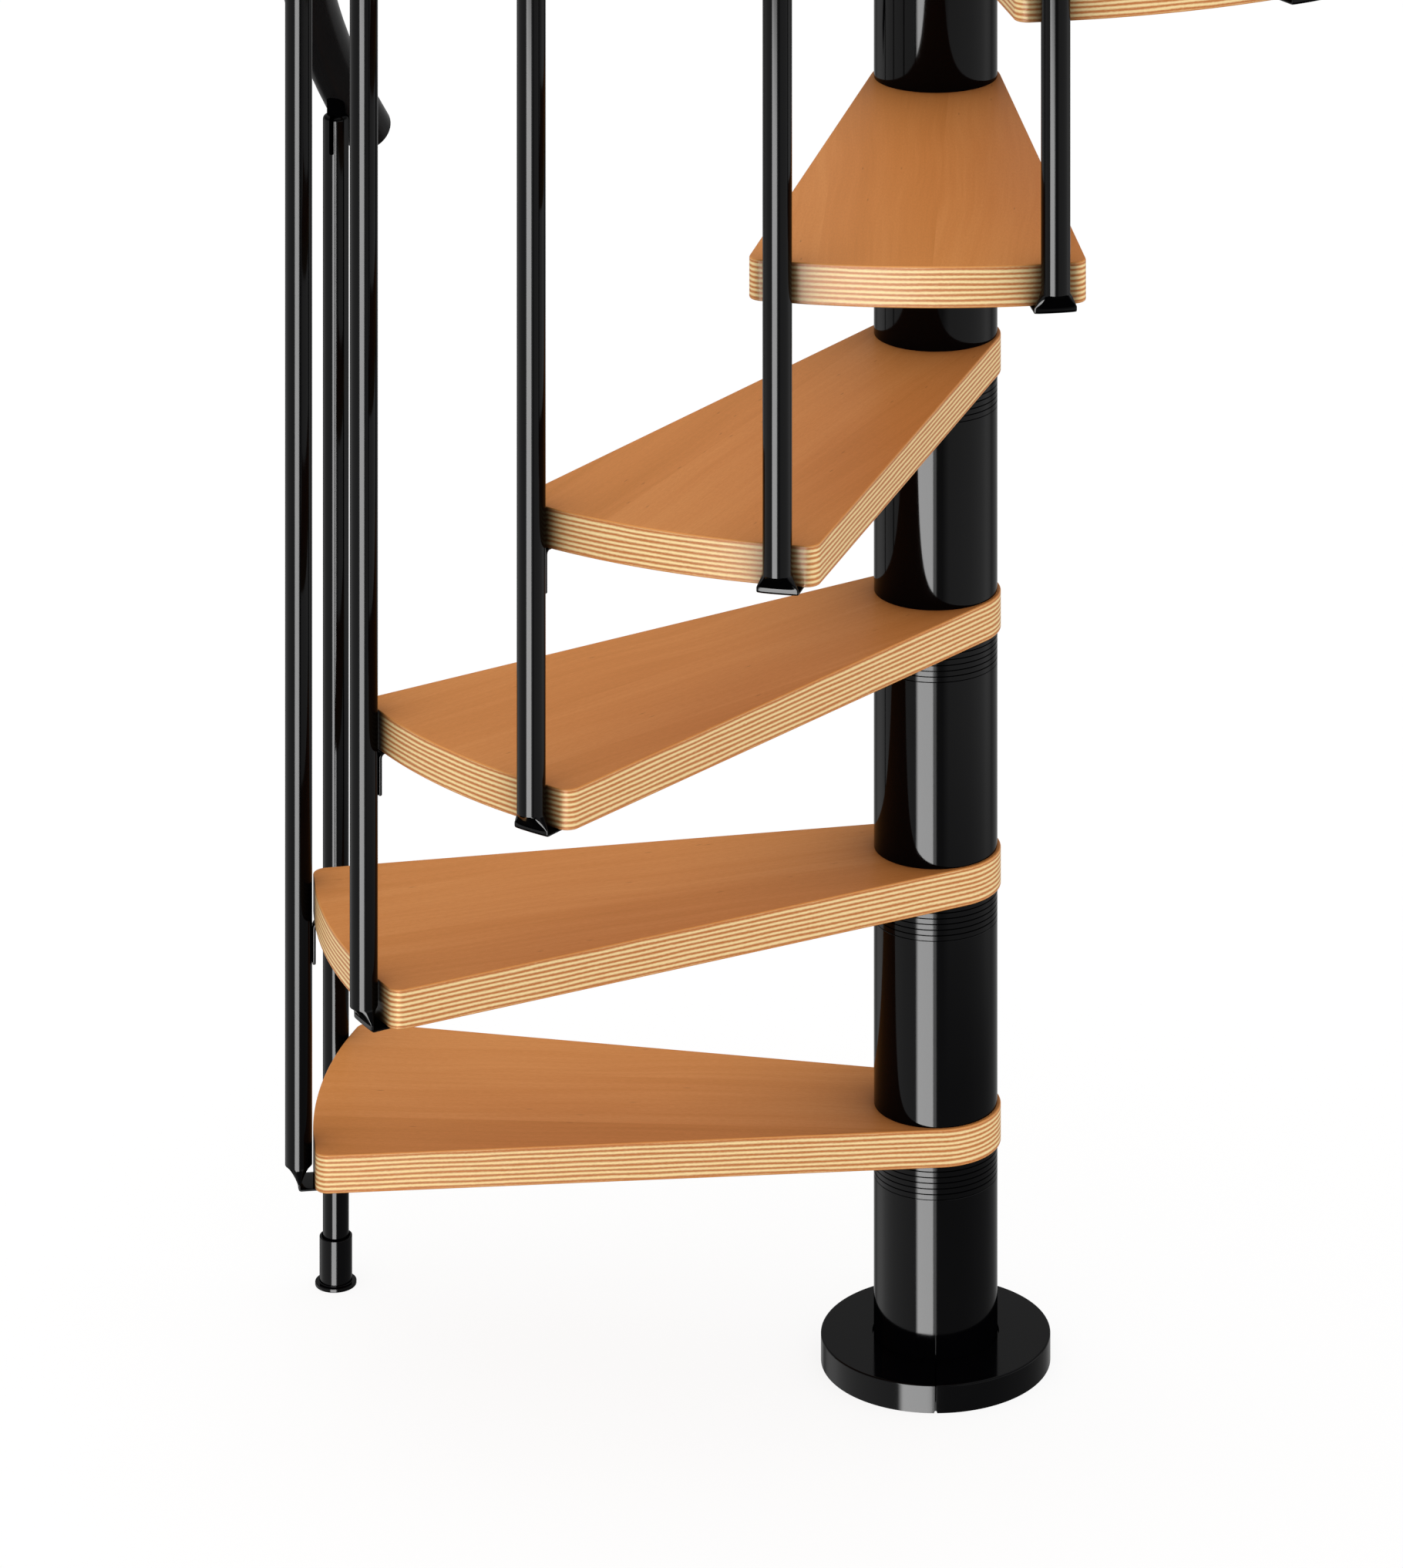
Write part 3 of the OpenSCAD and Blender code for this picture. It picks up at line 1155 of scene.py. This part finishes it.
    def build_baluster(self, k: int) -> BMesh:
        """Builds baluster k: its bar, its flattened stretch, its lip and its foot under tread k.

        Args:
            k: the baluster's number, from 1.

        Returns:
            The baluster's mesh at its place.
        """
        under = self.plan.tread_under(k)
        crease = under + self.flat_height
        bend = under + self.bend_radius
        flat = bend + self.lip
        bm = self.build_bar(crease, self.plan.post_top(k))
        edges = [edge for edge in bm.edges if edge.is_boundary]
        for _ in range(self.taper_steps):
            made = bmesh.ops.extrude_edge_only(bm, edges=edges)["geom"]
            edges = only(BMEdge, made)
            bmesh.ops.translate(bm, vec=UP * (flat - crease) / self.taper_steps, verts=only(BMVert, made))
        for vert in bm.verts:
            if vert.co.z < crease - NEAR:
                self.flatten(vert, (crease - vert.co.z) / (crease - flat))
        made = bmesh.ops.extrude_edge_only(bm, edges=edges)["geom"]
        edges = only(BMEdge, made)
        bmesh.ops.translate(bm, vec=UP * (bend - flat), verts=only(BMVert, made))
        pivot = -self.flat_thickness / 2 - self.bend_radius
        ring = [*edges, *{vert for edge in edges for vert in edge.verts}]
        made = bmesh.ops.spin(
            bm, geom=ring, cent=(pivot, 0, bend), axis=(0, 1, 0), angle=RIGHT_ANGLE, steps=self.bend_steps
        )["geom_last"]
        made = bmesh.ops.extrude_edge_only(bm, edges=only(BMEdge, made))["geom"]
        bmesh.ops.translate(bm, vec=(-self.foot_length - pivot, 0, 0), verts=only(BMVert, made))
        bmesh.ops.contextual_create(bm, geom=only(BMEdge, made))
        bmesh.ops.recalc_face_normals(bm, faces=bm.faces)
        bmesh.ops.transform(bm, matrix=self.plan.at_post(k), verts=bm.verts)
        return bm

    def flatten(self, vert: BMVert, share: float) -> None:
        """Moves a point of the round bar towards the flat foot's section.

        Args:
            vert: the point, on the bar's round surface.
            share: how far down the flattened stretch it lies.
        """
        radius = self.plan.post_radius
        thick = blend(radius, self.flat_thickness / 2, share**self.flat_power)
        wide = blend(radius, self.flat_width / 2, share)
        x, y = vert.co.xy / radius
        vert.co.x = math.copysign(thick * abs(x) ** blend(1, self.box_power, share), x)
        vert.co.y = wide * y

    def dress(self, paint: bpy.types.Material) -> None:
        """Makes the newel post and every baluster a piece.

        Args:
            paint: finish of the posts.
        """
        make_piece(self.build_newel(), "slotted_newel", (paint,), ("newel_post",))
        for k in self.plan.treads:
            name = numbered("round_baluster", k)
            make_piece(self.build_baluster(k), name, (paint,), (numbered("baluster", k),))


@dataclass
class NewelFoot:
    """Flanged foot with an open collar around the newel post."""

    plan: StairPlan
    flange_radius: float = 19 * MM
    flange_thickness: float = 3.5 * MM
    collar_radius: float = 15 * MM
    collar_height: float = 45 * MM
    play: float = 0.8 * MM
    rim: float = 0.7 * MM
    rim_steps: int = 3
    steps: int = 64

    def build(self) -> BMesh:
        """Turns the foot and eases its rims.

        Returns:
            The foot's mesh at its place.
        """
        bore = self.plan.post_radius + self.play
        bm = bmesh.new()
        profile = (
            (0, 0),
            (self.flange_radius, 0),
            (self.flange_radius, self.flange_thickness),
            (self.collar_radius, self.flange_thickness),
            (self.collar_radius, self.collar_height),
            (bore, self.collar_height),
            (bore, self.flange_thickness),
            (0, self.flange_thickness),
        )
        turn_profile(bm, profile, self.steps)
        ease(bm, corner_edges(bm), self.rim, self.rim_steps)
        bmesh.ops.transform(bm, matrix=self.plan.at_post(0), verts=bm.verts)
        return bm

    def dress(self, plastic: bpy.types.Material) -> None:
        """Makes the foot a piece."""
        make_piece(self.build(), "newel_floor_foot", (plastic,), ("newel_foot",))


@dataclass
class TreadFixings:
    """Angle straps that hold each tread to the post before it, and the screw heads under straps and feet."""

    plan: StairPlan
    thickness: float = 3 * MM
    width: float = 11 * MM
    length: float = 38 * MM
    bend: float = 3 * MM
    bend_steps: int = 6
    arris: float = 1.2 * MM
    arris_steps: int = 3
    head_radius: float = 3.6 * MM
    head_height: float = 1.8 * MM
    head_round: float = 1.1 * MM
    head_round_steps: int = 3
    drive_inset: float = 1.6 * MM
    drive_depth: float = 1 * MM
    head_steps: int = 12
    # Places of the screws under a baluster's foot, in from its axis and to each side
    foot_screw_in: float = 29 * MM
    foot_screw_side: float = 9 * MM
    foot_thickness: float = 2.6 * MM

    def build_strap(self, k: int) -> BMesh:
        """Bends one strap from the inner side of post k to the underside of the next tread.

        Args:
            k: the post's number, where the newel is 0.

        Returns:
            The strap's mesh at its place.
        """
        outer_bend = self.bend + self.thickness
        leg = self.length - outer_bend
        back = -self.plan.post_radius
        front = back - self.thickness
        side = self.width / 2
        bm = bmesh.new()
        corners = [
            bm.verts.new((x, y, -self.length))
            for x, y in ((back, -side), (back, side), (front, side), (front, -side))
        ]
        face = bm.faces.new(corners)
        start = bmesh.ops.extrude_face_region(bm, geom=[face])["geom"]
        bmesh.ops.translate(bm, vec=UP * leg, verts=only(BMVert, start))
        bent = bmesh.ops.spin(
            bm,
            geom=start,
            cent=(back - outer_bend, 0, -outer_bend),
            axis=(0, 1, 0),
            angle=-RIGHT_ANGLE,
            steps=self.bend_steps,
        )["geom_last"]
        tip = bmesh.ops.extrude_face_region(bm, geom=only(BMFace, bent))["geom"]
        bmesh.ops.translate(bm, vec=(-leg, 0, 0), verts=only(BMVert, tip))
        # The faces that were extruded and swept from are left inside the strap
        inside = [face for face in bm.faces if all(len(edge.link_faces) > 2 for edge in face.edges)]
        bmesh.ops.delete(bm, geom=inside, context="FACES_ONLY")
        bmesh.ops.recalc_face_normals(bm, faces=bm.faces)
        ease(bm, corner_edges(bm), self.arris, self.arris_steps)
        bmesh.ops.transform(bm, matrix=self.plan.at_post(k, self.plan.tread_under(k + 1)), verts=bm.verts)
        return bm

    def build_head(self, place: Matrix) -> BMesh:
        """Builds a domed screw head with a socket, standing on the X-Y plane of its place.

        Args:
            place: where the head stands.

        Returns:
            The head's mesh.
        """
        bm = bmesh.new()
        bmesh.ops.create_circle(bm, cap_ends=True, segments=self.head_steps, radius=self.head_radius)
        made = bmesh.ops.extrude_face_region(bm, geom=bm.faces[:])["geom"]
        bmesh.ops.translate(bm, vec=UP * self.head_height, verts=only(BMVert, made))
        bmesh.ops.recalc_face_normals(bm, faces=bm.faces)
        top = only(BMFace, made)
        rim = {edge for face in top for edge in face.edges}
        ease(bm, rim, self.head_round, self.head_round_steps)
        top = [max(bm.faces, key=lambda face: face.calc_center_median().z)]
        inset = self.head_radius - self.head_round - self.drive_inset
        bmesh.ops.inset_region(bm, faces=top, thickness=inset)
        made = bmesh.ops.extrude_face_region(bm, geom=top)["geom"]
        bmesh.ops.delete(bm, geom=top, context="FACES_ONLY")
        bmesh.ops.translate(bm, vec=-UP * self.drive_depth, verts=only(BMVert, made))
        bmesh.ops.transform(bm, matrix=place, verts=bm.verts)
        return bm

    def build_heads(self) -> BMesh:
        """Builds the screw heads under every foot and strap.

        Returns:
            The mesh of the heads.
        """
        downwards = Matrix.Rotation(HALF_TURN, 4, "X")
        leg_middle = (self.length + self.bend + self.thickness) / 2
        strap_screw_in = self.plan.post_radius + leg_middle
        places = []
        for k in self.plan.treads:
            foot = self.plan.at_post(k, self.plan.tread_under(k) - self.foot_thickness)
            for side in (-self.foot_screw_side, self.foot_screw_side):
                places.append(foot @ Matrix.Translation((-self.foot_screw_in, side, 0)) @ downwards)
        for k in range(self.plan.tread_count):
            strap = self.plan.at_post(k, self.plan.tread_under(k + 1) - self.thickness)
            places.append(strap @ Matrix.Translation((-strap_screw_in, 0, 0)) @ downwards)
        return gather(self.build_head(place) for place in places)

    def dress(self, paint: bpy.types.Material) -> None:
        """Makes the straps one piece and the screw heads another.

        Args:
            paint: finish of both.
        """
        straps = gather(self.build_strap(k) for k in range(self.plan.tread_count))
        make_piece(straps, "angle_straps", (paint,), ("tread_brackets",))
        make_piece(self.build_heads(), "screw_heads", (paint,), ())


@dataclass
class Handrail:
    """Round rail that winds over the posts, with a cap on each end."""

    plan: StairPlan
    radius: float = 23 * MM
    lift: float = 40.5 * MM
    past: float = math.radians(7.2)
    cap_thickness: float = 4 * MM
    cap_rim: float = 2.5 * MM
    cap_steps: int = 5
    sides: int = 48
    steps: int = 132

    def at_end(self, end: RailEnd) -> Matrix:
        """Places an end of the rail, with Z pointing up along the rail's axis.

        Args:
            end: the end of the rail.

        Returns:
            The place.
        """
        k = 0 if end is RailEnd.LOWER else self.plan.tread_count
        turn = self.plan.post_angle(k) + end.value * self.past
        climb = self.plan.rise / self.plan.step_angle
        height = self.plan.post_top(k) + self.lift + end.value * self.past * climb
        slope = math.atan2(climb, self.plan.post_circle)
        return (
            Matrix.Rotation(turn, 4, "Z")
            @ Matrix.Translation((self.plan.post_circle, 0, height))
            @ Matrix.Rotation(slope - RIGHT_ANGLE, 4, "X")
        )

    def build_rail(self) -> BMesh:
        """Winds a circle up the stair and closes its ends.

        Returns:
            The rail's mesh.
        """
        turn = self.plan.tread_count * self.plan.step_angle + 2 * self.past
        climb = turn * self.plan.rise / self.plan.step_angle
        bm = bmesh.new()
        start = self.at_end(RailEnd.LOWER)
        bmesh.ops.create_circle(bm, segments=self.sides, radius=self.radius, matrix=start)
        bmesh.ops.spin(
            bm,
            geom=bm.verts[:] + bm.edges[:],
            cent=(0, 0, 0),
            axis=UP,
            dvec=UP * climb / self.steps,
            angle=turn,
            steps=self.steps,
        )
        bmesh.ops.holes_fill(bm, edges=[edge for edge in bm.edges if edge.is_boundary], sides=self.sides)
        bmesh.ops.recalc_face_normals(bm, faces=bm.faces)
        return bm

    def build_cap(self, end: RailEnd) -> BMesh:
        """Turns the cap of one end, with its rounded edge outwards.

        Args:
            end: the end of the rail.

        Returns:
            The cap's mesh at its place.
        """
        outwards = end.value * self.cap_thickness
        bm = bmesh.new()
        turn_profile(bm, ((0, 0), (self.radius, 0), (self.radius, outwards), (0, outwards)), self.sides)
        rim = [edge for edge in corner_edges(bm) if abs(edge.verts[0].co.z - outwards) < NEAR]
        ease(bm, rim, self.cap_rim, self.cap_steps)
        bmesh.ops.transform(bm, matrix=self.at_end(end), verts=bm.verts)
        return bm

    def dress(self, skin: bpy.types.Material) -> None:
        """Makes the rail a piece and its caps another.

        Args:
            skin: finish of both.
        """
        make_piece(self.build_rail(), "winding_handrail", (skin,), ("handrail",))
        caps = gather(self.build_cap(end) for end in RailEnd)
        make_piece(caps, "rail_caps", (skin,), ("rail_end_caps",))


@dataclass(frozen=True)
class StudioCamera:
    """Camera that looks down on the treads with an upright picture plane, so that the posts stay parallel.

    Places and lengths are in pixels of the picture, at the scale of the column's axis.
    """

    width: int = 1820
    height: int = 2034
    axis_x: float = 1213.72
    floor_y: float = 1760.745
    horizon_y: float = -2211.0
    distance: float = 8295.0
    rise: float = 332.525
    sensor: float = 36.0

    def place(self, plan: StairPlan) -> None:
        """Makes the camera on a rig that leans its line of sight and leaves its picture plane upright.

        Args:
            plan: the stair's plan, whose rise gives the scale.
        """
        scale = plan.rise / self.rise
        eye = scale * Vector((0, -self.distance, self.floor_y - self.horizon_y))
        aim = scale * Vector((self.width / 2 - self.axis_x, 0, self.floor_y - self.height / 2))
        sight = (aim - eye).normalized()
        camera = bpy.data.objects.new("camera", bpy.data.cameras.new("camera"))
        rig = bpy.data.objects.new("camera_rig", None)
        for item in (camera, rig):
            bpy.context.scene.collection.objects.link(item)
        camera.parent = rig
        camera.matrix_parent_inverse = Matrix(
            ((1, 0, -sight.x, eye.x), (0, 0, -sight.y, eye.y), (0, 1, -sight.z, eye.z), (0, 0, 0, 1))
        )
        camera.data.sensor_width = self.sensor
        camera.data.lens = self.sensor * self.distance / sight.y / self.height
        bpy.context.scene.camera = camera


@dataclass(frozen=True)
class Studio:
    """White studio: light from all round, a white floor, and walls and a softbox that only gloss shows.

    Lengths and heights are in metres.
    """

    floor_radius: float = 12.0
    floor_colour: str = "#FDFDFD"
    shadow_share: float = 0.14
    wall_radius: float = 8.0
    wall_low: float = -5.0
    wall_high: float = 6.0
    stage_steps: int = 96
    # Brightness of the wall's lower and upper part, by parts of a turn that goes from the left past the front
    low_tones: tuple[tuple[float, float], ...] = (
        (0.0, 0.9),
        (0.06, 1.0),
        (0.21, 1.0),
        (0.25, 0.34),
        (0.38, 0.3),
        (0.47, 0.28),
        (0.55, 0.2),
        (0.62, 0.165),
        (0.68, 0.19),
        (0.8, 0.19),
        (0.84, 0.08),
        (0.92, 0.72),
        (1.0, 0.9),
    )
    high_tones: tuple[tuple[float, float], ...] = (
        (0.0, 0.84),
        (0.06, 0.98),
        (0.21, 1.0),
        (0.25, 0.34),
        (0.285, 0.34),
        (0.32, 1.0),
        (0.4, 1.05),
        (0.47, 1.0),
        (0.55, 0.8),
        (0.605, 0.17),
        (0.68, 0.19),
        (0.8, 0.19),
        (0.84, 0.08),
        (0.92, 0.59),
        (1.0, 0.84),
    )
    wall_strength: float = 2.25
    # Heights between which the lower part goes over to the upper one
    tone_change: tuple[float, float] = (-3.15, -2.35)
    # Above these heights the wall is dim all round, so that the treads' tops stay clear of haze
    dim_change: tuple[float, float] = (1.2, 2.2)
    dim_tone: float = 0.19
    ground_tone: float = 0.03
    # Light of the sky: its middle level, its gains to the right, to the back and upwards, and its least level
    sky_level: float = 0.6
    sky_gains: tuple[float, float, float] = (0.0, -0.45, 0.8)
    sky_least: float = 0.65
    # The softbox: its sides, the soft stretch at its left side and the dim fringe past its right side
    box_left: float = -1.98
    box_right: float = -0.2
    box_soft: float = 0.35
    box_fringe: float = 0.26
    fringe_tone: float = 0.2
    fringe_step: float = 0.01
    box_front: float = -2.6
    box_low: float = -2.0
    box_high: float = 0.95
    box_fade: float = 0.3
    box_strength: float = 61.0

    def light(self) -> None:
        """Makes the sky, the floor and what the gloss mirrors."""
        self.light_sky()
        self.stage_floor()
        self.stage_walls()
        self.stage_ground()
        self.stage_softbox()

    @staticmethod
    def glow(tree: bpy.types.NodeTree, colour: Any, strength: Any) -> None:
        """Makes a stage material shine in a mirror, and stay dark in the mirror image of a mirror.

        Args:
            tree: the material's node tree.
            colour: colour, or the socket that gives it.
            strength: brightness, or the socket that gives it.
        """
        depth = add_node(tree, "ShaderNodeLightPath", {}).outputs["Ray Depth"]
        first = add_node(
            tree, "ShaderNodeMath", {0: depth, 1: FIRST_MIRROR}, operation="LESS_THAN"
        ).outputs[0]
        level = add_node(tree, "ShaderNodeMath", {0: strength, 1: first}, operation="MULTIPLY").outputs[0]
        shine = add_node(tree, "ShaderNodeEmission", {"Color": colour, "Strength": level}).outputs[0]
        tree.links.new(shine, tree.nodes["Material Output"].inputs["Surface"])

    def light_sky(self) -> None:
        """Makes the world: white to the camera, and soft light that is stronger from above and the front."""
        world = bpy.data.worlds.new("white_studio")
        world.use_nodes = True
        tree = world.node_tree
        way = add_node(tree, "ShaderNodeTexCoord", {}).outputs["Generated"]
        gain = add_node(tree, "ShaderNodeVectorMath", {0: way, 1: self.sky_gains}, operation="DOT_PRODUCT")
        level = gain.outputs["Value"]
        for operation, value in (("ADD", self.sky_level), ("MAXIMUM", self.sky_least)):
            level = add_node(tree, "ShaderNodeMath", {0: level, 1: value}, operation=operation).outputs[0]
        seen = add_node(tree, "ShaderNodeLightPath", {}).outputs["Is Camera Ray"]
        strength = add_node(tree, "ShaderNodeMix", {0: seen, 2: level, 3: 1.0}).outputs[0]
        set_inputs(tree, tree.nodes["Background"], {"Color": grey(1.0), "Strength": strength})
        bpy.context.scene.world = world

    @staticmethod
    def set_piece(bm: BMesh, name: str, material: bpy.types.Material) -> bpy.types.Object:
        """Makes a mesh an object of the scene with one finish, for the studio.

        Args:
            bm: the finished mesh, which is freed.
            name: the stage piece's name.
            material: its finish.

        Returns:
            The stage piece.
        """
        item = make_object(bm, name, (material,))
        return item

    def stage_floor(self) -> None:
        """Makes the floor: white paper that keeps a faint shadow and is left out of the gloss."""
        material = start_material("white_paper_floor")
        tree = material.node_tree
        paper = tree.nodes["Principled BSDF"]
        finish = {"Base Color": linear(self.floor_colour), "Roughness": 1.0, "Specular IOR Level": 0.0}
        set_inputs(tree, paper, finish)
        white = add_node(tree, "ShaderNodeEmission", {"Color": grey(1.0), "Strength": 1.0}).outputs[0]
        ray = add_node(tree, "ShaderNodeLightPath", {}).outputs
        seen = ray["Is Camera Ray"]
        for other in ("Is Glossy Ray", "Is Transmission Ray"):
            seen = add_node(tree, "ShaderNodeMath", {0: seen, 1: ray[other]}, operation="MAXIMUM").outputs[0]
        share = add_node(
            tree, "ShaderNodeMath", {0: seen, 1: 1 - self.shadow_share}, operation="MULTIPLY"
        ).outputs[0]
        mixed = add_node(tree, "ShaderNodeMixShader", {0: share, 1: paper.outputs[0], 2: white}).outputs[0]
        tree.links.new(mixed, tree.nodes["Material Output"].inputs["Surface"])
        bm = bmesh.new()
        bmesh.ops.create_circle(bm, cap_ends=True, segments=self.stage_steps, radius=self.floor_radius)
        floor = self.set_piece(bm, "studio_floor", material)
        floor.visible_glossy = False
        floor.visible_diffuse = False

    def stage_walls(self) -> None:
        """Makes the round wall that the gloss mirrors: light on the left, and higher up on the right too."""
        material = start_material("grey_studio_wall")
        tree = material.node_tree
        place = add_node(tree, "ShaderNodeTexCoord", {}).outputs["Object"]
        turn = add_node(
            tree, "ShaderNodeTexGradient", {"Vector": place}, gradient_type="RADIAL"
        ).outputs["Fac"]
        parts = []
        for part in (self.low_tones, self.high_tones):
            tones = add_node(tree, "ShaderNodeValToRGB", {0: turn})
            set_stops(tones.color_ramp, [(position, grey(level)) for position, level in part])
            parts.append(tones.outputs["Color"])
        height = add_node(tree, "ShaderNodeSeparateXYZ", {0: place}).outputs["Z"]
        tone, upper_tone = parts
        for (start, end), next_tone in (
            (self.tone_change, upper_tone),
            (self.dim_change, grey(self.dim_tone)),
        ):
            share = add_node(
                tree, "ShaderNodeMapRange", {"Value": height, "From Min": start, "From Max": end}
            ).outputs[0]
            tone = add_node(
                tree, "ShaderNodeMix", {MIX_FACTOR: share, MIX_A: tone, MIX_B: next_tone}, data_type="RGBA"
            ).outputs[MIX_RESULT]
        self.glow(tree, tone, self.wall_strength)
        bm = bmesh.new()
        foot = Matrix.Translation((0, 0, self.wall_low))
        bmesh.ops.create_circle(bm, segments=self.stage_steps, radius=self.wall_radius, matrix=foot)
        made = bmesh.ops.extrude_edge_only(bm, edges=bm.edges[:])["geom"]
        bmesh.ops.translate(bm, vec=UP * (self.wall_high - self.wall_low), verts=only(BMVert, made))
        self.mirror_only(self.set_piece(bm, "studio_wall", material))

    def stage_ground(self) -> None:
        """Makes the dark ground at the wall's foot, which the undersides of glossy pieces mirror."""
        material = start_material("dark_studio_ground")
        self.glow(material.node_tree, grey(self.ground_tone), 1.0)
        bm = bmesh.new()
        foot = Matrix.Translation((0, 0, self.wall_low))
        bmesh.ops.create_circle(
            bm, cap_ends=True, segments=self.stage_steps, radius=self.wall_radius, matrix=foot
        )
        self.mirror_only(self.set_piece(bm, "studio_ground", material))

    def stage_softbox(self) -> None:
        """Makes the softbox at the front left, which draws the bright strips and fades towards its top."""
        material = start_material("softbox_cloth")
        tree = material.node_tree
        place = add_node(tree, "ShaderNodeTexCoord", {}).outputs["Object"]
        axes = add_node(tree, "ShaderNodeSeparateXYZ", {0: place}).outputs
        fade = add_node(
            tree,
            "ShaderNodeMapRange",
            {
                "Value": axes["Z"],
                "From Min": self.box_high,
                "From Max": self.box_high - self.box_fade,
                "To Max": self.box_strength,
            },
        ).outputs[0]
        fringe_right = self.box_right + self.box_fringe
        width = fringe_right - self.box_left
        share = add_node(
            tree,
            "ShaderNodeMapRange",
            {"Value": axes["X"], "From Min": self.box_left, "From Max": fringe_right},
        ).outputs[0]
        cloth = add_node(tree, "ShaderNodeValToRGB", {0: share})
        edge = 1 - self.box_fringe / width
        tones = (
            (0.0, 0.0),
            (self.box_soft / width, 1.0),
            (edge - self.fringe_step, 1.0),
            (edge, self.fringe_tone),
            (1.0, self.fringe_tone),
        )
        set_stops(cloth.color_ramp, [(position, grey(level)) for position, level in tones])
        self.glow(tree, cloth.outputs["Color"], fade)
        bm = bmesh.new()
        corners = [
            bm.verts.new((x, self.box_front, z))
            for x, z in (
                (self.box_left, self.box_low),
                (fringe_right, self.box_low),
                (fringe_right, self.box_high),
                (self.box_left, self.box_high),
            )
        ]
        bm.faces.new(corners)
        self.mirror_only(self.set_piece(bm, "studio_softbox", material))

    @staticmethod
    def mirror_only(item: bpy.types.Object) -> None:
        """Lets only reflections show a stage piece.

        Args:
            item: the stage piece.
        """
        item.visible_camera = False
        item.visible_diffuse = False
        item.visible_transmission = False
        item.visible_volume_scatter = False
        item.visible_shadow = False


def main() -> None:
    """Sets the camera and the studio, then builds and dresses the stair from the floor up."""
    logging.basicConfig(level=logging.INFO, format="%(name)s %(message)s")
    bpy.context.scene.view_settings.view_transform = "Standard"
    plan = StairPlan.from_frame()
    StudioCamera().place(plan)
    Studio().light()
    paint = PAINTED_STEEL.material()
    plastic = MOULDED_ABS.material()
    skin = SATIN_PVC.material()
    SplitBaseCover(plan).dress(plastic)
    TubeColumn(plan).dress(paint, plastic)
    PlywoodTreads(plan).dress(BeechVeneer().material(), PlywoodEdge().material())
    NewelFoot(plan).dress(plastic)
    RoundPosts(plan).dress(paint)
    TreadFixings(plan).dress(paint)
    Handrail(plan).dress(skin)
    for name, finish in (("base_plate", paint), ("rail_joints", MATT_RUBBER.material())):
        for material_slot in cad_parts[name].material_slots:
            material_slot.material = finish
        LOG.info("%s: packed node in %s", name, finish.name)


if __name__ == "__main__":
    main()
